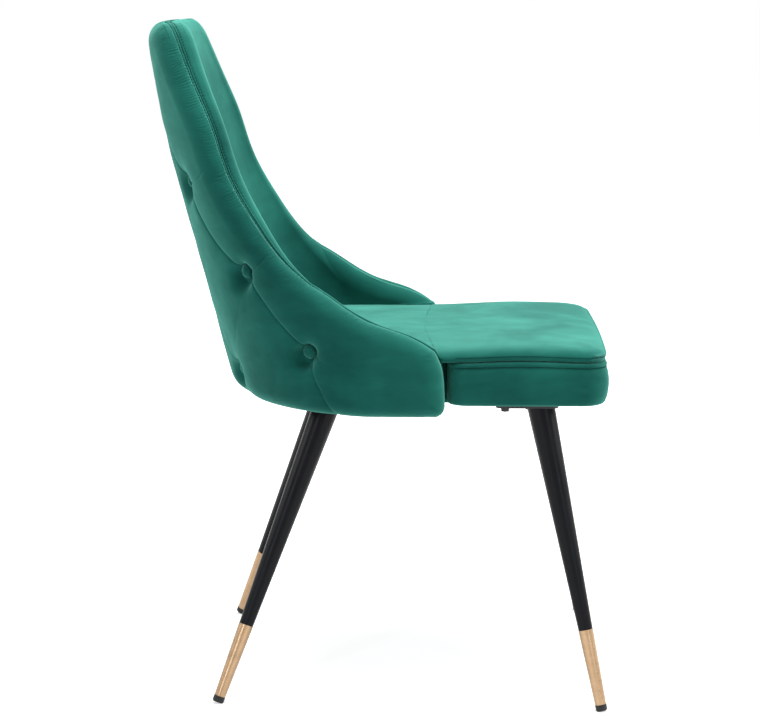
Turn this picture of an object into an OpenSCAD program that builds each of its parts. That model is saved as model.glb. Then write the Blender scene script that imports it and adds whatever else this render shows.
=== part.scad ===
// Upholstered dining chair with a winged, button-tufted shell back.
// +Z is up, the sitter faces -Y, the chair mirrors about X = 0 and stands on Z = 0.

/* [Back shell] */
// Height of the shell's top edge above the floor
shell_top = 867; // [820:1:920]
// Height of the shell's bottom edge above the floor
shell_low = 379; // [365:1:388]
// Lean of the back from the upright, in degrees
recline = 14.8; // [8:0.1:20]
// Half width of the shell at the wings
half_seat = 236.5; // [225:0.5:250]
// Half width that the shell tends to above the wings
half_top = 191.5; // [170:0.5:205]
// Front to rear depth of the shell's rounded part at the seat
deep_seat = 183.5; // [170:0.5:205]
// Front to rear depth of the shell's rounded part at the top
deep_top = 106; // [90:1:120]
// How far the wings reach forward of the rear skin
wing_reach = 293; // [270:1:300]
// Rear face of the shell at its bottom edge
rear_y = 190.5; // [180:0.5:200]
// Thickness of the shell from outer skin to inner skin
shell_thick = 53; // [50:1:57]
// Corner radius at the top of the back
top_corner = 21; // [14:1:50]

/* [Tufting] */
// Depth of a button's seat below the outer skin
tuft_depth = 16; // [10:0.5:18]
// Depth of the folds between buttons
fold_depth = 5.5; // [2:0.5:8]
// Height of the first button above the floor
tuft_z = 780; // [760:1:800]
// Height from one row of buttons to the next
tuft_pitch = 123; // [114:1:124]
// Diameter of a covered button
button_d = 17; // [13:0.5:19]

/* [Seat] */
// Height of the seat's upper seam above the floor
seam_z = 450; // [440:1:460]
// Height of the crown of the seat above its seam
crown = 18; // [10:1:28]
// How far the seat's side stands in from the wings' outer skin
seat_inset = 23; // [16:0.5:30]
// Distance from the origin to the seat's front seam
seat_front = 294; // [280:1:305]
// Thickness of the plywood seat board
board_thick = 15; // [12:0.5:18]
// Outward bulge of the seat's side band
band_bulge = 5; // [2:0.5:8]

/* [Legs] */
// How far the front legs' heads stand in from the shell's sides
front_top_in = 60.5; // [55:0.5:72]
// How far the front legs' heads stand back from the seat's front seam
front_top_back = 81.5; // [70:0.5:100]
// How far the rear legs' heads stand in from the shell's sides
rear_top_in = 117; // [106:0.5:127]
// How far the rear legs' heads stand ahead of the shell's rear
rear_top_ahead = 130.5; // [126:0.5:143]
// Sideways spread of a front leg from head to foot
front_splay_x = 64; // [40:1:74]
// Forward spread of a front leg from head to foot
front_splay_y = 78.5; // [62:0.5:88]
// Sideways spread of a rear leg from head to foot
rear_splay_x = 94.5; // [75:0.5:106]
// Rearward spread of a rear leg from head to foot
rear_splay_y = 141.5; // [130:0.5:155]
// Leg diameter at the top
leg_top_d = 35.5; // [30:0.5:40]
// Leg diameter where the ferrule starts
leg_low_d = 18.5; // [16:0.5:24]
// Ferrule diameter at the foot
ferrule_tip_d = 14.5; // [13:0.5:18]
// Length of the ferrule along the leg
ferrule_len = 101; // [60:1:140]
// Thickness of the leg mounting plates
plate_thick = 4; // [3:0.5:6]
// Side of the square leg mounting plates
plate_side = 80; // [74:1:84]
// Diameter of the leg bolts
bolt_d = 6; // [5:0.5:8]

/* [Hidden] */
$fn = 48;

gap = 0.3;
board_z = 392;
velvet = [0.13, 0.42, 0.36];
foam = [0.93, 0.9, 0.8];
ply = [0.78, 0.62, 0.42];
black_steel = [0.09, 0.095, 0.105];
gold = [0.8, 0.66, 0.47];
zinc = [0.7, 0.71, 0.73];

// ---- the shell's outer skin -------------------------------------------------
// q is the angle round the plan from the rear centre; past 90 it runs straight
// forward along the wing at the same rate.
flare_z = 464;
flare_len = 114;
crest_z = 700;
crest_bend = 0.00059;

function flare(z) = 1 / (1 + pow(max(0, z - flare_z) / flare_len, 1.6));
function half(z) = half_top + (half_seat - half_top) * flare(z);
function deep(z) = deep_top + (deep_seat - deep_top) * flare(z);
function rear(z) = rear_y + (z - shell_low) * tan(recline)
                   - crest_bend * pow(max(0, z - crest_z), 2);
function plan(q, z) =
    let (a = abs(q), w = half(z), d = deep(z))
    a <= 90 ? [sign(q) * w * sin(a), rear(z) - d * (1 - cos(a))]
            : [sign(q) * w, rear(z) - d - (a - 90) * d * PI / 180];
function normal(q, z) =
    let (a = min(abs(q), 90),
         nx = sign(q) * sin(a) / half(z),
         ny = cos(a) / deep(z),
         s = (plan(q, z + 1) - plan(q, z - 1)) / 2,
         n = [nx, ny, -(nx * s[0] + ny * s[1])])
    n / norm(n);
function skin(q, z, h) =
    let (p = plan(q, z)) [p[0], p[1], z] + normal(q, z) * h;
// millimetres along the skin for one degree of q
function rate(q, z) =
    let (a = min(abs(q), 90))
    PI / 180 * norm([half(z) * cos(a), deep(z) * sin(a)]);

// ---- the shell's edge -------------------------------------------------------
// share of the shell's height against share of the wing's reach
edge_profile = [[0, 0.956], [0.085, 0.988], [0.135, 0.997], [0.18, 0.975], [0.22, 0.893],
                [0.26, 0.728], [0.33, 0.572], [0.4, 0.413], [0.49, 0.312], [0.6, 0.232],
                [0.74, 0.205], [0.86, 0.142], [1, 0.063]];
tip_corner = 14;

function slope(tab, i) =
    let (a = max(0, i - 1), b = min(len(tab) - 1, i + 1))
    (tab[b][1] - tab[a][1]) / (tab[b][0] - tab[a][0]);
function span(tab, x, i = 0) =
    i >= len(tab) - 2 || x < tab[i + 1][0] ? i : span(tab, x, i + 1);
function smooth(tab, x) =
    let (i = span(tab, x), w = tab[i + 1][0] - tab[i][0], t = (x - tab[i][0]) / w,
         m0 = slope(tab, i) * w, m1 = slope(tab, i + 1) * w)
    (2 * t * t * t - 3 * t * t + 1) * tab[i][1] + (t * t * t - 2 * t * t + t) * m0
    + (3 * t * t - 2 * t * t * t) * tab[i + 1][1] + (t * t * t - t * t) * m1;
function step(t) = let (c = max(0, min(1, t))) c * c * (3 - 2 * c);
function corner(r, x) = x >= r ? 0 : r - sqrt(r * r - pow(r - max(0, x), 2));

function edge_raw(z) =
    let (r = wing_reach * smooth(edge_profile, (z - shell_low) / (shell_top - shell_low)),
         d = deep(z))
    r < d ? acos(1 - r / d) : 90 + (r - d) / (d * PI / 180);
function edge_q(z) =
    let (q = edge_raw(z))
    q - (corner(tip_corner, z - shell_low) + corner(top_corner, shell_top - z)) / rate(q, z);

// lower edge of the inner pad: it stops above the rail behind the seat
pad_lift = board_z + 30 - shell_low;
function pad_low(q, lift) = shell_low + lift * step((110 - abs(q)) / 10);

// right half of the edge, from bottom centre to top centre, as [q, z]
function half_edge(lift) =
    let (q0 = edge_q(shell_low), q1 = edge_q(shell_top))
    concat([for (i = [0:1:59]) let (q = q0 * i / 60) [q, pad_low(q, lift)]],
           [for (i = [0:1:120]) let (z = shell_low + (shell_top - shell_low) * (1 - cos(i * 1.5)) / 2)
               [edge_q(z), z]],
           [for (i = [1:1:20]) [q1 * (1 - i / 20), shell_top]]);
function pace(a, b) = norm([(b[0] - a[0]) * rate((a[0] + b[0]) / 2, (a[1] + b[1]) / 2), b[1] - a[1]]);
function run(pts) = [for (i = 0, s = 0; i < len(pts); i = i + 1,
                          s = i < len(pts) ? s + pace(pts[i - 1], pts[i]) : s) s];
// closed loop of n points, evenly spaced, from the bottom centre round the right side
function edge_loop(n, lift) =
    let (pts = half_edge(lift), s = run(pts), total = s[len(s) - 1], m = n / 2,
         qs = [for (i = [0:1:len(s) - 1]) [s[i], pts[i][0]]],
         zs = [for (i = [0:1:len(s) - 1]) [s[i], pts[i][1]]],
         right = [for (i = [0:1:m]) [lookup(total * i / m, qs), lookup(total * i / m, zs)]])
    concat(right, [for (i = [m - 1:-1:1]) [-right[i][0], right[i][1]]]);
// unit inward direction at each loop point, in millimetres along and up the skin
function inward(loop, w) =
    let (n = len(loop))
    [for (i = [0:1:n - 1])
        let (a = loop[(i - w + n) % n], b = loop[(i + w) % n], g = rate(loop[i][0], loop[i][1]),
             t = [(b[0] - a[0]) * g, b[1] - a[1]])
        [-t[1], t[0]] / norm(t)];
// 1 where the lower edge is lifted, 0 elsewhere
function raised(p, lift) = lift > 0 && p[1] < shell_low + lift + 1 ? step((110 - abs(p[0])) / 10) : 0;
// ring of points d in from the edge at depth h, or at depth back where the edge is lifted
function ring(loop, dirs, d, h, lift, back) =
    [for (i = [0:1:len(loop) - 1])
        skin(loop[i][0] + dirs[i][0] * d / rate(loop[i][0], loop[i][1]),
             loop[i][1] + dirs[i][1] * d, h + (min(h, back) - h) * raised(loop[i], lift))];

rim_roll = 26;

// ---- the button lattice -----------------------------------------------------
// k counts half diamonds sideways and r counts rows downwards; buttons sit where
// k + r is even and k is no more than r.
tuft_rise = 5.5;
rows = 3;
tuft_top_deg = 27.6;
tuft_low_deg = 23.2;
function tuft_deg(z) = tuft_top_deg - (tuft_top_deg - tuft_low_deg) * step((560 - z) / 130);
function lat_z(k, r) = tuft_z - tuft_pitch * r + tuft_rise * pow(min(abs(k), rows), 2);
function lat_q(k, r) = k * tuft_deg(lat_z(k, r));
buttons = [for (r = [0:1:rows]) for (k = [-r:2:r]) [k, r]];
// folds on the right half: from, to, depth share
folds = [[[0, 0], [1, 1], 1], [[1, 1], [2, 2], 1], [[2, 2], [3, 3], 1],
         [[1, 1], [0, 2], 1], [[0, 2], [1, 3], 1], [[2, 2], [1, 3], 0.9],
         [[0, 0], [0, -0.7], 0.8], [[1, 1], [1.9, 0.98], 0.6], [[2, 2], [2.9, 1.9], 0.6],
         [[3, 3], [4.3, 3.25], 0.45], [[3, 3], [3.25, 3.7], 0.8], [[1, 3], [1.15, 3.5], 0.9]];
cell_w = 100;
function seg_dist(p, a, b) =
    let (u = b - a, v = p - a, t = max(0, min(1, (v * u) / (u * u)))) norm(v - u * t);
function lat_mm(p) = [abs(p[0]) * cell_w, p[1] * tuft_pitch];
seat_r = 10;
function tuft(k, r) =
    let (p = lat_mm([k, r]),
         b = min([for (c = buttons) if (c[0] >= 0) norm(p - lat_mm(c))]),
         f = max([for (s = folds) s[2] * exp(-seg_dist(p, lat_mm(s[0]), lat_mm(s[1])) / 10)]),
         dimple = tuft_depth * exp(-pow(max(0, b - seat_r) / 24, 1.1)))
    -pow(pow(dimple, 2.5) + pow(fold_depth * f, 2.5), 0.4);

// widest k of the interior grid in a row, clear of the edge rings
function inside(k, r, keep) =
    let (z = lat_z(k, r), q = lat_q(k, r), g = rate(q, z))
    q + keep * 1.27 / g < edge_q(z) && q + 4 < edge_q(min(z + keep, shell_top - 4));
function reach_k(r, keep, k = 0.2) = inside(k + 0.02, r, keep) ? reach_k(r, keep, k + 0.02) : k;
// column i of n: lattice steps out to the outermost fold, then closing up to the rings
function col_k(i, m, n, r, top_k) =
    let (hold = min(max(0, floor(r * m + 0.01) + 1), n - 2), k = i / m, far = hold / m)
    i <= hold && far < top_k ? k
    : far < top_k ? far + (top_k - far) * (i - hold) / (n - hold)
    : top_k * i / n;

// tufted grid: m steps to a half diamond, n columns to a side
tuft_steps = 6;
tuft_cols = 21;
function grid_rows(m) = [for (j = [-2 * m / 6:1:rows * m]) j / m];
function grid_points(m, n, h) =
    let (rs = grid_rows(m))
    [for (r = rs) let (top_k = reach_k(r, rim_roll * 1.15))
        for (i = [-n:1:n])
            let (k = sign(i) * col_k(abs(i), m, n, r, top_k),
                 near = [for (c = buttons)
                     if (abs(i - c[0] * m) < 1.5 && abs(r - c[1]) * m < 1.5) c])
            len(near) > 0
            ? let (c = near[0], di = i - c[0] * m, dj = round((c[1] - r) * m),
                   s = di != 0 && dj != 0 ? 0.74 : 1)
              button_point(c) + button_east(c) * di * seat_r * s + button_north(c) * dj * seat_r * s
            : skin(lat_q(k, r), lat_z(k, r), h + tuft(k, r))];
// plain grid of a smooth sheet, the same for every sheet so that they lie evenly on one another
plain_cols = 14;
plain_rows = 10;
plain_in = rim_roll * 1.4;
function plain_end(z) =
    min(edge_q(z) - plain_in * 1.27 / rate(edge_q(z), z), edge_q(min(z + plain_in, shell_top - 4)) - 4);
function plain_points(h, lift) =
    [for (j = [0:1:plain_rows]) for (i = [-plain_cols:1:plain_cols])
        let (c = abs(i) / plain_cols, high = shell_top - plain_in,
             low = pad_low(c * plain_end(shell_low + plain_in), lift) + plain_in,
             z = high - (high - low) * j / plain_rows)
        skin(i / plain_cols * plain_end(z), z, h)];
function button_point(c) = skin(lat_q(c[0], c[1]), lat_z(c[0], c[1]), -tuft_depth);
function button_normal(c) = normal(lat_q(c[0], c[1]), lat_z(c[0], c[1]));
function button_east(c) = let (n = button_normal(c), e = [n[1], -n[0], 0]) e / norm(e);
function button_north(c) = cross(button_east(c), button_normal(c));

// ---- meshes -----------------------------------------------------------------
function band(a, b, n) = [for (i = [0:1:n - 1]) let (j = (i + 1) % n)
    each [[a + i, a + j, b + j], [a + i, b + j, b + i]]];
// loop of a grid's own border, from the bottom row's centre round the right side
function grid_border(base, nc, nr) =
    let (c = nc - 1, mid = c / 2, last = nr - 1)
    concat([for (i = [mid:1:c]) base + last * nc + i],
           [for (j = [last - 1:-1:0]) base + j * nc + c],
           [for (i = [c - 1:-1:0]) base + i],
           [for (j = [1:1:last]) base + j * nc],
           [for (i = [1:1:mid - 1]) base + last * nc + i]);
// triangles between two closed loops of different counts, by the shorter diagonal
function zip(pts, a, b, i, j, acc) =
    let (na = len(a), nb = len(b))
    i == na && j == nb ? acc
    : let (pa = pts[a[i % na]], pb = pts[b[j % nb]],
           da = i < na ? norm(pts[a[(i + 1) % na]] - pb) : 1e9,
           db = j < nb ? norm(pts[b[(j + 1) % nb]] - pa) : 1e9)
      da <= db ? zip(pts, a, b, i + 1, j, concat(acc, [[a[i % na], a[(i + 1) % na], b[j % nb]]]))
               : zip(pts, a, b, i, j + 1, concat(acc, [[a[i % na], b[(j + 1) % nb], b[j % nb]]]));
function grid_faces(base, nc, nr, m, c0) =
    [for (j = [0:1:nr - 2]) for (i = [0:1:nc - 2])
        let (p = base + j * nc + i, q = p + 1, s = p + nc + 1, t = p + nc,
             falls = (i >= c0) == (((floor(abs(i + 0.5 - c0) / m) + floor((j - m / 3 + m * 2) / m)) % 2) == 0))
        each falls ? [[p, t, s], [p, s, q]] : [[p, t, q], [q, t, s]]];
function flip(faces) = [for (f = faces) [f[2], f[1], f[0]]];

// closed pad or board: outer grid, rings from the outer face over the edge to the
// inner face, inner grid.  Each ring is [inset, depth].
module shell_solid(n, lift, rings, tufted, h1, h2) {
    loop = edge_loop(n, lift);
    dirs = inward(loop, round(n / 26));
    n1 = tufted ? tuft_cols : plain_cols;
    n2 = plain_cols;
    g1 = tufted ? grid_points(tuft_steps, n1, h1) : plain_points(h1, lift);
    g2 = plain_points(h2, lift);
    nc1 = 2 * n1 + 1;
    nr1 = len(g1) / nc1;
    nc2 = 2 * n2 + 1;
    nr2 = len(g2) / nc2;
    bands = [for (s = rings) each ring(loop, dirs, s[0], s[1], lift, rings[0][1])];
    pts = concat(g1, bands, g2);
    r0 = len(g1);
    r1 = r0 + (len(rings) - 1) * n;
    g0 = r0 + len(bands);
    first = [for (i = [0:1:n - 1]) r0 + i];
    last = [for (i = [0:1:n - 1]) r1 + i];
    faces = concat(grid_faces(0, nc1, nr1, tufted ? tuft_steps : 1, n1),
                   flip(zip(pts, grid_border(0, nc1, nr1), first, 0, 0, [])),
                   [for (k = [0:1:len(rings) - 2]) each flip(band(r0 + k * n, r0 + (k + 1) * n, n))],
                   zip(pts, grid_border(g0, nc2, nr2), last, 0, 0, []),
                   flip(grid_faces(g0, nc2, nr2, 1, n2)));
    polyhedron(pts, faces, convexity = 8);
}

board_in = 16;
board_out = 24;
board_ply = 10;
seam_d = 3;
seam_h = 27.2;
seam_lip = 0.8;
// between the board and the inner pad
pad_gap = 0.8;
board_low = board_out + board_ply;
// the rail behind the seat, between the board and the seat's band
rail_q = 98;
rail_gap = 0.9;
rail_high = 28;
rail_top = board_z + rail_high;
rail_face = board_low + rail_gap;

module back_outer_pad() {
    r = rim_roll;
    color(velvet)
        shell_solid(132, 0,
            [[r, -r * 0.023], [r * 0.615, -r * 0.092], [r * 0.308, -r * 0.25], [r * 0.096, -r * 0.538],
             [0, -r * 0.885], [seam_d, -seam_h], [board_in - gap, -seam_h - seam_lip],
             [board_in - gap / 2, -board_out + gap], [r * 1.077, -board_out + gap]],
            true, 0, -board_out + gap);
}
module back_board() {
    r = rim_roll * 1.077;
    color(ply)
        shell_solid(100, 0, [[r, -board_out], [board_in, -board_out], [board_in, -board_low], [r, -board_low]],
                    false, -board_out, -board_low);
}
module back_inner_pad() {
    r = rim_roll;
    t = shell_thick;
    back = board_low + pad_gap;
    color(velvet)
        shell_solid(100, pad_lift,
            [[r * 1.077, -back], [board_in - gap * 2, -back], [board_in - gap * 3, -seam_h - seam_lip - gap],
             [seam_d + 1, -seam_h - gap], [0.4, -seam_h - r * 0.23], [r * 0.06, -t + r * 0.36],
             [r * 0.27, -t + r * 0.05], [r * 0.615, -t], [r * 1.077, -t]],
            false, -back, -t);
}

// ---- seat -------------------------------------------------------------------
seat_half = half_seat - seat_inset - 0.5;
board_top = board_z + board_thick;
shoulder_y = -98;
front_corner = 30;
shoulder_r = 8;
shell_gap = 1.5;
wall = 13.4;

function flat_normal(q, z) = let (n = normal(q, z), m = [n[0], n[1]]) m / norm(m);
// point at height z that lies a given depth below the outer skin
function sunk_plan(q, z, depth) =
    let (n = normal(q, z)) plan(q, z) - flat_normal(q, z) * depth / norm([n[0], n[1]]);
function inner_plan(q, z, extra) = sunk_plan(q, z, shell_thick + shell_gap + extra);
// right half of the seat's outline at height z; f insets the front, s the part
// between the wings
function half_outline(z, f, s) =
    let (w = seat_half - f, y = -seat_front + f, r = front_corner - min(f, 20), sh = shoulder_y - max(f, 0),
         qs = 90 + (rear(z) - deep(z) - sh) / (deep(z) * PI / 180))
    concat([for (i = [0:1:5]) [(w - r) * i / 6, y]],
           [for (a = [-90:15:0]) [w - r + r * cos(a), y + r + r * sin(a)]],
           [for (i = [1:1:4]) [w, y + r + (sh - shoulder_r - y - r) * i / 5]],
           [for (a = [0:22.5:90]) [w - shoulder_r + shoulder_r * cos(a), sh - shoulder_r + shoulder_r * sin(a)]],
           [for (i = [0:1:16]) inner_plan(qs * (1 - i / 16), z, s)]);
function outline(z, f, s) =
    let (h = half_outline(z, f, s), n = len(h))
    concat(h, [for (i = [n - 2:-1:1]) [-h[i][0], h[i][1]]]);
function outline_ring(z, f, s, k = 1, at = undef) =
    let (c = [0, -70]) [for (p = outline(z, f, s)) let (v = c + (p - c) * k) [v[0], v[1], is_undef(at) ? z : at]];

// closed loft through rings of equal count; each end closes on a point
module loft(rings, peak) {
    n = len(rings[0]);
    last = len(rings) - 1;
    mid = [0, -70];
    low = [mid[0], mid[1], rings[0][0][2]];
    high = is_undef(peak) ? [mid[0], mid[1], rings[last][0][2]] : peak;
    pts = concat([for (r = rings) each r], [low, high]);
    polyhedron(pts, concat([for (i = [0:1:n - 1]) [i, (i + 1) % n, len(pts) - 2]],
                           [for (k = [0:1:last - 1]) each flip(band(k * n, (k + 1) * n, n))],
                           [for (i = [0:1:n - 1]) [last * n + (i + 1) % n, last * n + i, len(pts) - 1]]),
               convexity = 6);
}
// hollow loft: the rings close on themselves
module loft_tube(rings) {
    n = len(rings[0]);
    m = len(rings);
    pts = [for (r = rings) each r];
    polyhedron(pts, [for (k = [0:1:m - 1]) each flip(band(k * n, ((k + 1) % m) * n, n))], convexity = 6);
}

module seat_board() {
    color(ply)
        difference() {
            translate([0, 0, board_z])
                linear_extrude(board_thick)
                    polygon(outline(board_z, wall + gap, wall + gap));
            bolt_places() translate([0, 0, board_z - 1]) cylinder(h = board_thick + 2, r = nut_r + 0.2);
            bolt_places() translate([0, 0, board_top - nut_flange - gap]) cylinder(h = 5, r = nut_flange_r + gap);
            strap_places() translate([-strap_seat, 0, board_z - 1])
                cylinder(h = screw_len - 1, r = screw_r + clear);
        }
}
module seat_foam() {
    f = wall + gap;
    color(foam)
        loft([outline_ring(board_top + gap, f, f), outline_ring(seam_z - 3, f, f)]);
}
module seat_boxing() {
    b = band_bulge;
    low = board_z - 1;
    tall = seam_z - 3.3 - low;
    // [height share, outward bulge share]
    profile = [[0, -1.9], [0.04, -0.5], [0.12, 0.25], [0.28, 0.75], [0.5, 1], [0.7, 0.85], [0.88, 0.4], [1, 0]];
    color(velvet)
        loft_tube(concat([for (p = profile) outline_ring(low + tall * p[0], -b * p[1], p[1] < 0 ? 1 : 0)],
                         [outline_ring(low + tall, wall, wall), outline_ring(low, wall, wall)]));
}
module seat_top_panel() {
    z0 = seam_z - 3 + gap;
    // [scale, share of the crown]
    dome = [[1, 0], [0.996, 0.22], [0.986, 0.43], [0.96, 0.62], [0.89, 0.79], [0.75, 0.91], [0.5, 0.98], [0.25, 1]];
    color(velvet)
        loft(concat([outline_ring(z0, 0, 0.2)],
                    [for (p = dome) outline_ring(seam_z, 0, 0.2, p[0], seam_z + crown * p[1])]),
             [0, -70, seam_z + crown]);
}
cover_t = 0.7;
cover_z = board_z - gap - cover_t;
module seat_dust_cover() {
    color(black_steel)
        difference() {
            translate([0, 0, cover_z])
                linear_extrude(cover_t)
                    polygon(outline(board_z, wall + 2, wall + 2));
            bolt_places() translate([0, 0, cover_z - 1]) cylinder(h = 3, r = bolt_d / 2 + 0.5);
            strap_places() translate([-strap_seat, 0, cover_z - 1]) cylinder(h = 3, r = screw_r + 0.5);
        }
}

// ---- shell fixings ----------------------------------------------------------
strap_t = 3;
strap_w = 18;
strap_top = cover_z - gap;
strap_len = 56;
strap_seat = 38;
screw_r = 2;
screw_len = 13;
clear = 0.05;
strap_qs = [0, 22, -22, 94, -94];
module strap_places() {
    for (q = strap_qs) {
        p = sunk_plan(q, board_z, rail_face + 8);
        n = flat_normal(q, board_z);
        translate([p[0], p[1], 0]) rotate([0, 0, atan2(n[1], n[0])]) children();
    }
}
module back_rail() {
    steps = 48;
    function station(q) = [for (c = [[board_z - 1, rail_face], [rail_top, rail_face],
                                     [rail_top, shell_thick], [board_z - 1, shell_thick]])
        let (p = sunk_plan(q, c[0], c[1])) [p[0], p[1], c[0]]];
    pts = [for (i = [0:1:steps]) each station(rail_q * (2 * i / steps - 1))];
    color(ply)
        difference() {
            polyhedron(pts, concat([[0, 1, 2, 3]], [for (i = [0:1:steps - 1]) each flip(band(i * 4, i * 4 + 4, 4))],
                                   [[steps * 4 + 3, steps * 4 + 2, steps * 4 + 1, steps * 4]]), convexity = 6);
            strap_places() translate([0, 0, board_z - 2]) cylinder(h = screw_len - 2, r = screw_r + clear);
        }
}
module back_straps() {
    color(black_steel)
        strap_places()
            difference() {
                translate([-strap_seat - 9, -strap_w / 2, strap_top - strap_t])
                    cube([strap_len, strap_w, strap_t]);
                for (x = [0, -strap_seat]) translate([x, 0, strap_top - strap_t - 1])
                    cylinder(h = strap_t + 2, r = screw_r + 0.2);
            }
}
module strap_screws() {
    color(zinc)
        strap_places()
            for (x = [0, -strap_seat]) translate([x, 0, strap_top - strap_t]) {
                translate([0, 0, -1.6]) cylinder(h = 1.6, r1 = 3.2, r2 = 4);
                cylinder(h = screw_len - 1, r = screw_r);
            }
}

// ---- legs -------------------------------------------------------------------
plate_top = strap_top;
plate_low = plate_top - plate_thick;
glide_len = 5.5;
glide_r = 6;
glide_flat = 0.8;
ferrule_start = 3;
spigot_r = 6;
spigot_len = 30;
stem_r = 4;
stem_len = 15;
leg_inset = 18;
leg_turn = 40;
bolt_in = 12;
nut_r = 4;
nut_flange = 1.2;
nut_flange_r = 9;
washer_t = 1.6;
head_t = 4;

front_top_x = half_seat - front_top_in;
front_top_y = seat_front - front_top_back;
rear_top_x = half_seat - rear_top_in;
rear_top_y = rear_y - rear_top_ahead;
front_foot_x = front_top_x + front_splay_x;
front_foot_y = front_top_y + front_splay_y;
rear_foot_x = rear_top_x + rear_splay_x;
rear_foot_y = rear_top_y + rear_splay_y;
// half side of the blocks that trim the legs
trim = shell_top;
function foot_x(front) = front ? front_foot_x : rear_foot_x;
function foot_y(front) = front ? -front_foot_y : rear_foot_y;
function head(front) = front ? [front_top_x, -front_top_y, plate_low] : [rear_top_x, rear_top_y, plate_low];
// the leg's axis starts above the floor so that the tilted glide is cut flat by glide_flat
function lean(front) =
    let (h = head(front)) atan(norm([foot_x(front) - h[0], foot_y(front) - h[1]]) / (h[2] - glide_r));
function foot(front) = [foot_x(front), foot_y(front),
                        glide_len * cos(lean(front)) + glide_r * sin(lean(front)) - glide_flat];
// stands its children's +Z along the leg, from the foot's centre; side is 1 or -1
module on_leg(front, side) {
    a = foot(front);
    v = head(front) - a;
    mirror([side > 0 ? 0 : 1, 0, 0])
        translate(a) rotate([0, acos(v[2] / norm(v)), atan2(v[1], v[0])]) children();
}
function leg_length(front) = norm(head(front) - foot(front));
module leg_cone(front, grow) {
    l = leg_length(front);
    rate = (leg_top_d - leg_low_d) / 2 / (l - ferrule_len);
    translate([0, 0, ferrule_len]) rotate([0, 0, leg_turn])
        cylinder(h = l - ferrule_len + 12, r1 = leg_low_d / 2 + grow, r2 = leg_top_d / 2 + rate * 12 + grow);
}
module leg(front, side) {
    color(black_steel)
        difference() {
            on_leg(front, side) {
                leg_cone(front, 0);
                translate([0, 0, ferrule_len - spigot_len]) cylinder(h = spigot_len + 1, r = spigot_r);
            }
            translate([-trim, -trim, plate_low]) cube([trim * 2, trim * 2, leg_top_d * 2]);
        }
}
module ferrule(front, side) {
    low = ferrule_start;
    color(gold)
        on_leg(front, side)
            difference() {
                translate([0, 0, low])
                    cylinder(h = ferrule_len - low - gap / 2, r1 = ferrule_tip_d / 2, r2 = leg_low_d / 2 + 0.3);
                translate([0, 0, ferrule_len - spigot_len - 1]) cylinder(h = spigot_len + 2, r = spigot_r + 0.1);
                translate([0, 0, low - 1]) cylinder(h = stem_len + 2, r = stem_r + 0.1);
            }
}
module glide(front, side) {
    color([0.08, 0.08, 0.08])
        difference() {
            on_leg(front, side) rotate([0, 0, leg_turn]) {
                rotate_extrude() polygon([[0, -glide_len], [glide_r, -glide_len],
                    [ferrule_tip_d / 2 + 0.2, -glide_len + 1.6], [ferrule_tip_d / 2 + 0.2, ferrule_start - 0.2],
                    [0, ferrule_start - 0.2]]);
                cylinder(h = ferrule_start + stem_len, r = stem_r);
            }
            translate([-trim, -trim, -leg_top_d]) cube([trim * 2, trim * 2, leg_top_d]);
        }
}
// centre of a leg's plate, shifted from the leg toward the middle of the seat
function plate_at(front) =
    front ? [front_top_x - leg_inset, -front_top_y + leg_inset] : [rear_top_x - leg_inset, rear_top_y - leg_inset];
module at_plate(front, side) {
    c = plate_at(front);
    mirror([side > 0 ? 0 : 1, 0, 0]) translate([c[0], c[1], 0]) mirror([0, front ? 1 : 0, 0]) children();
}
module bolt_spots() {
    b = plate_side / 2 - bolt_in;
    for (p = [[-b, -b], [-b, b], [b, -b]]) translate(p) children();
}
module bolt_places() {
    for (front = [true, false]) for (side = [1, -1]) at_plate(front, side) bolt_spots() children();
}
rib_in = 8;
rib_out = 48;
rib_deep = 12;
rib_thick = 4;
module leg_plate(front, side) {
    s = plate_side;
    r = 9;
    color(black_steel)
        difference() {
            union() {
                at_plate(front, side) translate([0, 0, plate_low])
                    linear_extrude(plate_thick) {
                        square([s, s - 2 * r], center = true);
                        square([s - 2 * r, s], center = true);
                        for (x = [-1, 1]) for (y = [-1, 1])
                            translate([x * (s / 2 - r), y * (s / 2 - r)]) circle(r);
                    }
                at_plate(front, side)
                    translate([leg_inset, leg_inset, plate_low]) rotate([90, 0, -135]) translate([0, 0, -rib_thick / 2])
                        linear_extrude(rib_thick) polygon([[rib_in, 0.5], [rib_out, 0.5], [rib_out, -1],
                            [rib_in + rib_deep, -rib_deep * 0.75], [rib_in, -rib_deep]]);
            }
            at_plate(front, side) bolt_spots() translate([0, 0, plate_low - 1])
                cylinder(h = plate_thick + 2, r = bolt_d / 2 + 0.3);
            difference() {
                on_leg(front, side) leg_cone(front, 0.15);
                translate([-trim, -trim, plate_low]) cube([trim * 2, trim * 2, leg_top_d * 2]);
            }
        }
}
module leg_bolts() {
    color(zinc)
        bolt_places() {
            translate([0, 0, plate_low - washer_t - head_t]) cylinder(h = head_t, r = bolt_d * 0.96, $fn = 6);
            translate([0, 0, plate_low - washer_t - 0.5]) cylinder(h = board_top - 3 - plate_low + washer_t, r = bolt_d / 2);
        }
}
module leg_washers() {
    color(zinc)
        bolt_places() translate([0, 0, plate_low - washer_t])
            difference() {
                cylinder(h = washer_t, r = bolt_d + 1);
                translate([0, 0, -1]) cylinder(h = washer_t + 2, r = bolt_d / 2 + 0.2);
            }
}
module leg_tee_nuts() {
    color(zinc)
        bolt_places() translate([0, 0, board_top - gap])
            difference() {
                union() {
                    translate([0, 0, -nut_flange]) cylinder(h = nut_flange, r = nut_flange_r);
                    translate([0, 0, -nut_flange - 8.5]) cylinder(h = 9, r = nut_r);
                }
                translate([0, 0, -20]) cylinder(h = 30, r = bolt_d / 2 + clear);
            }
}
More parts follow.
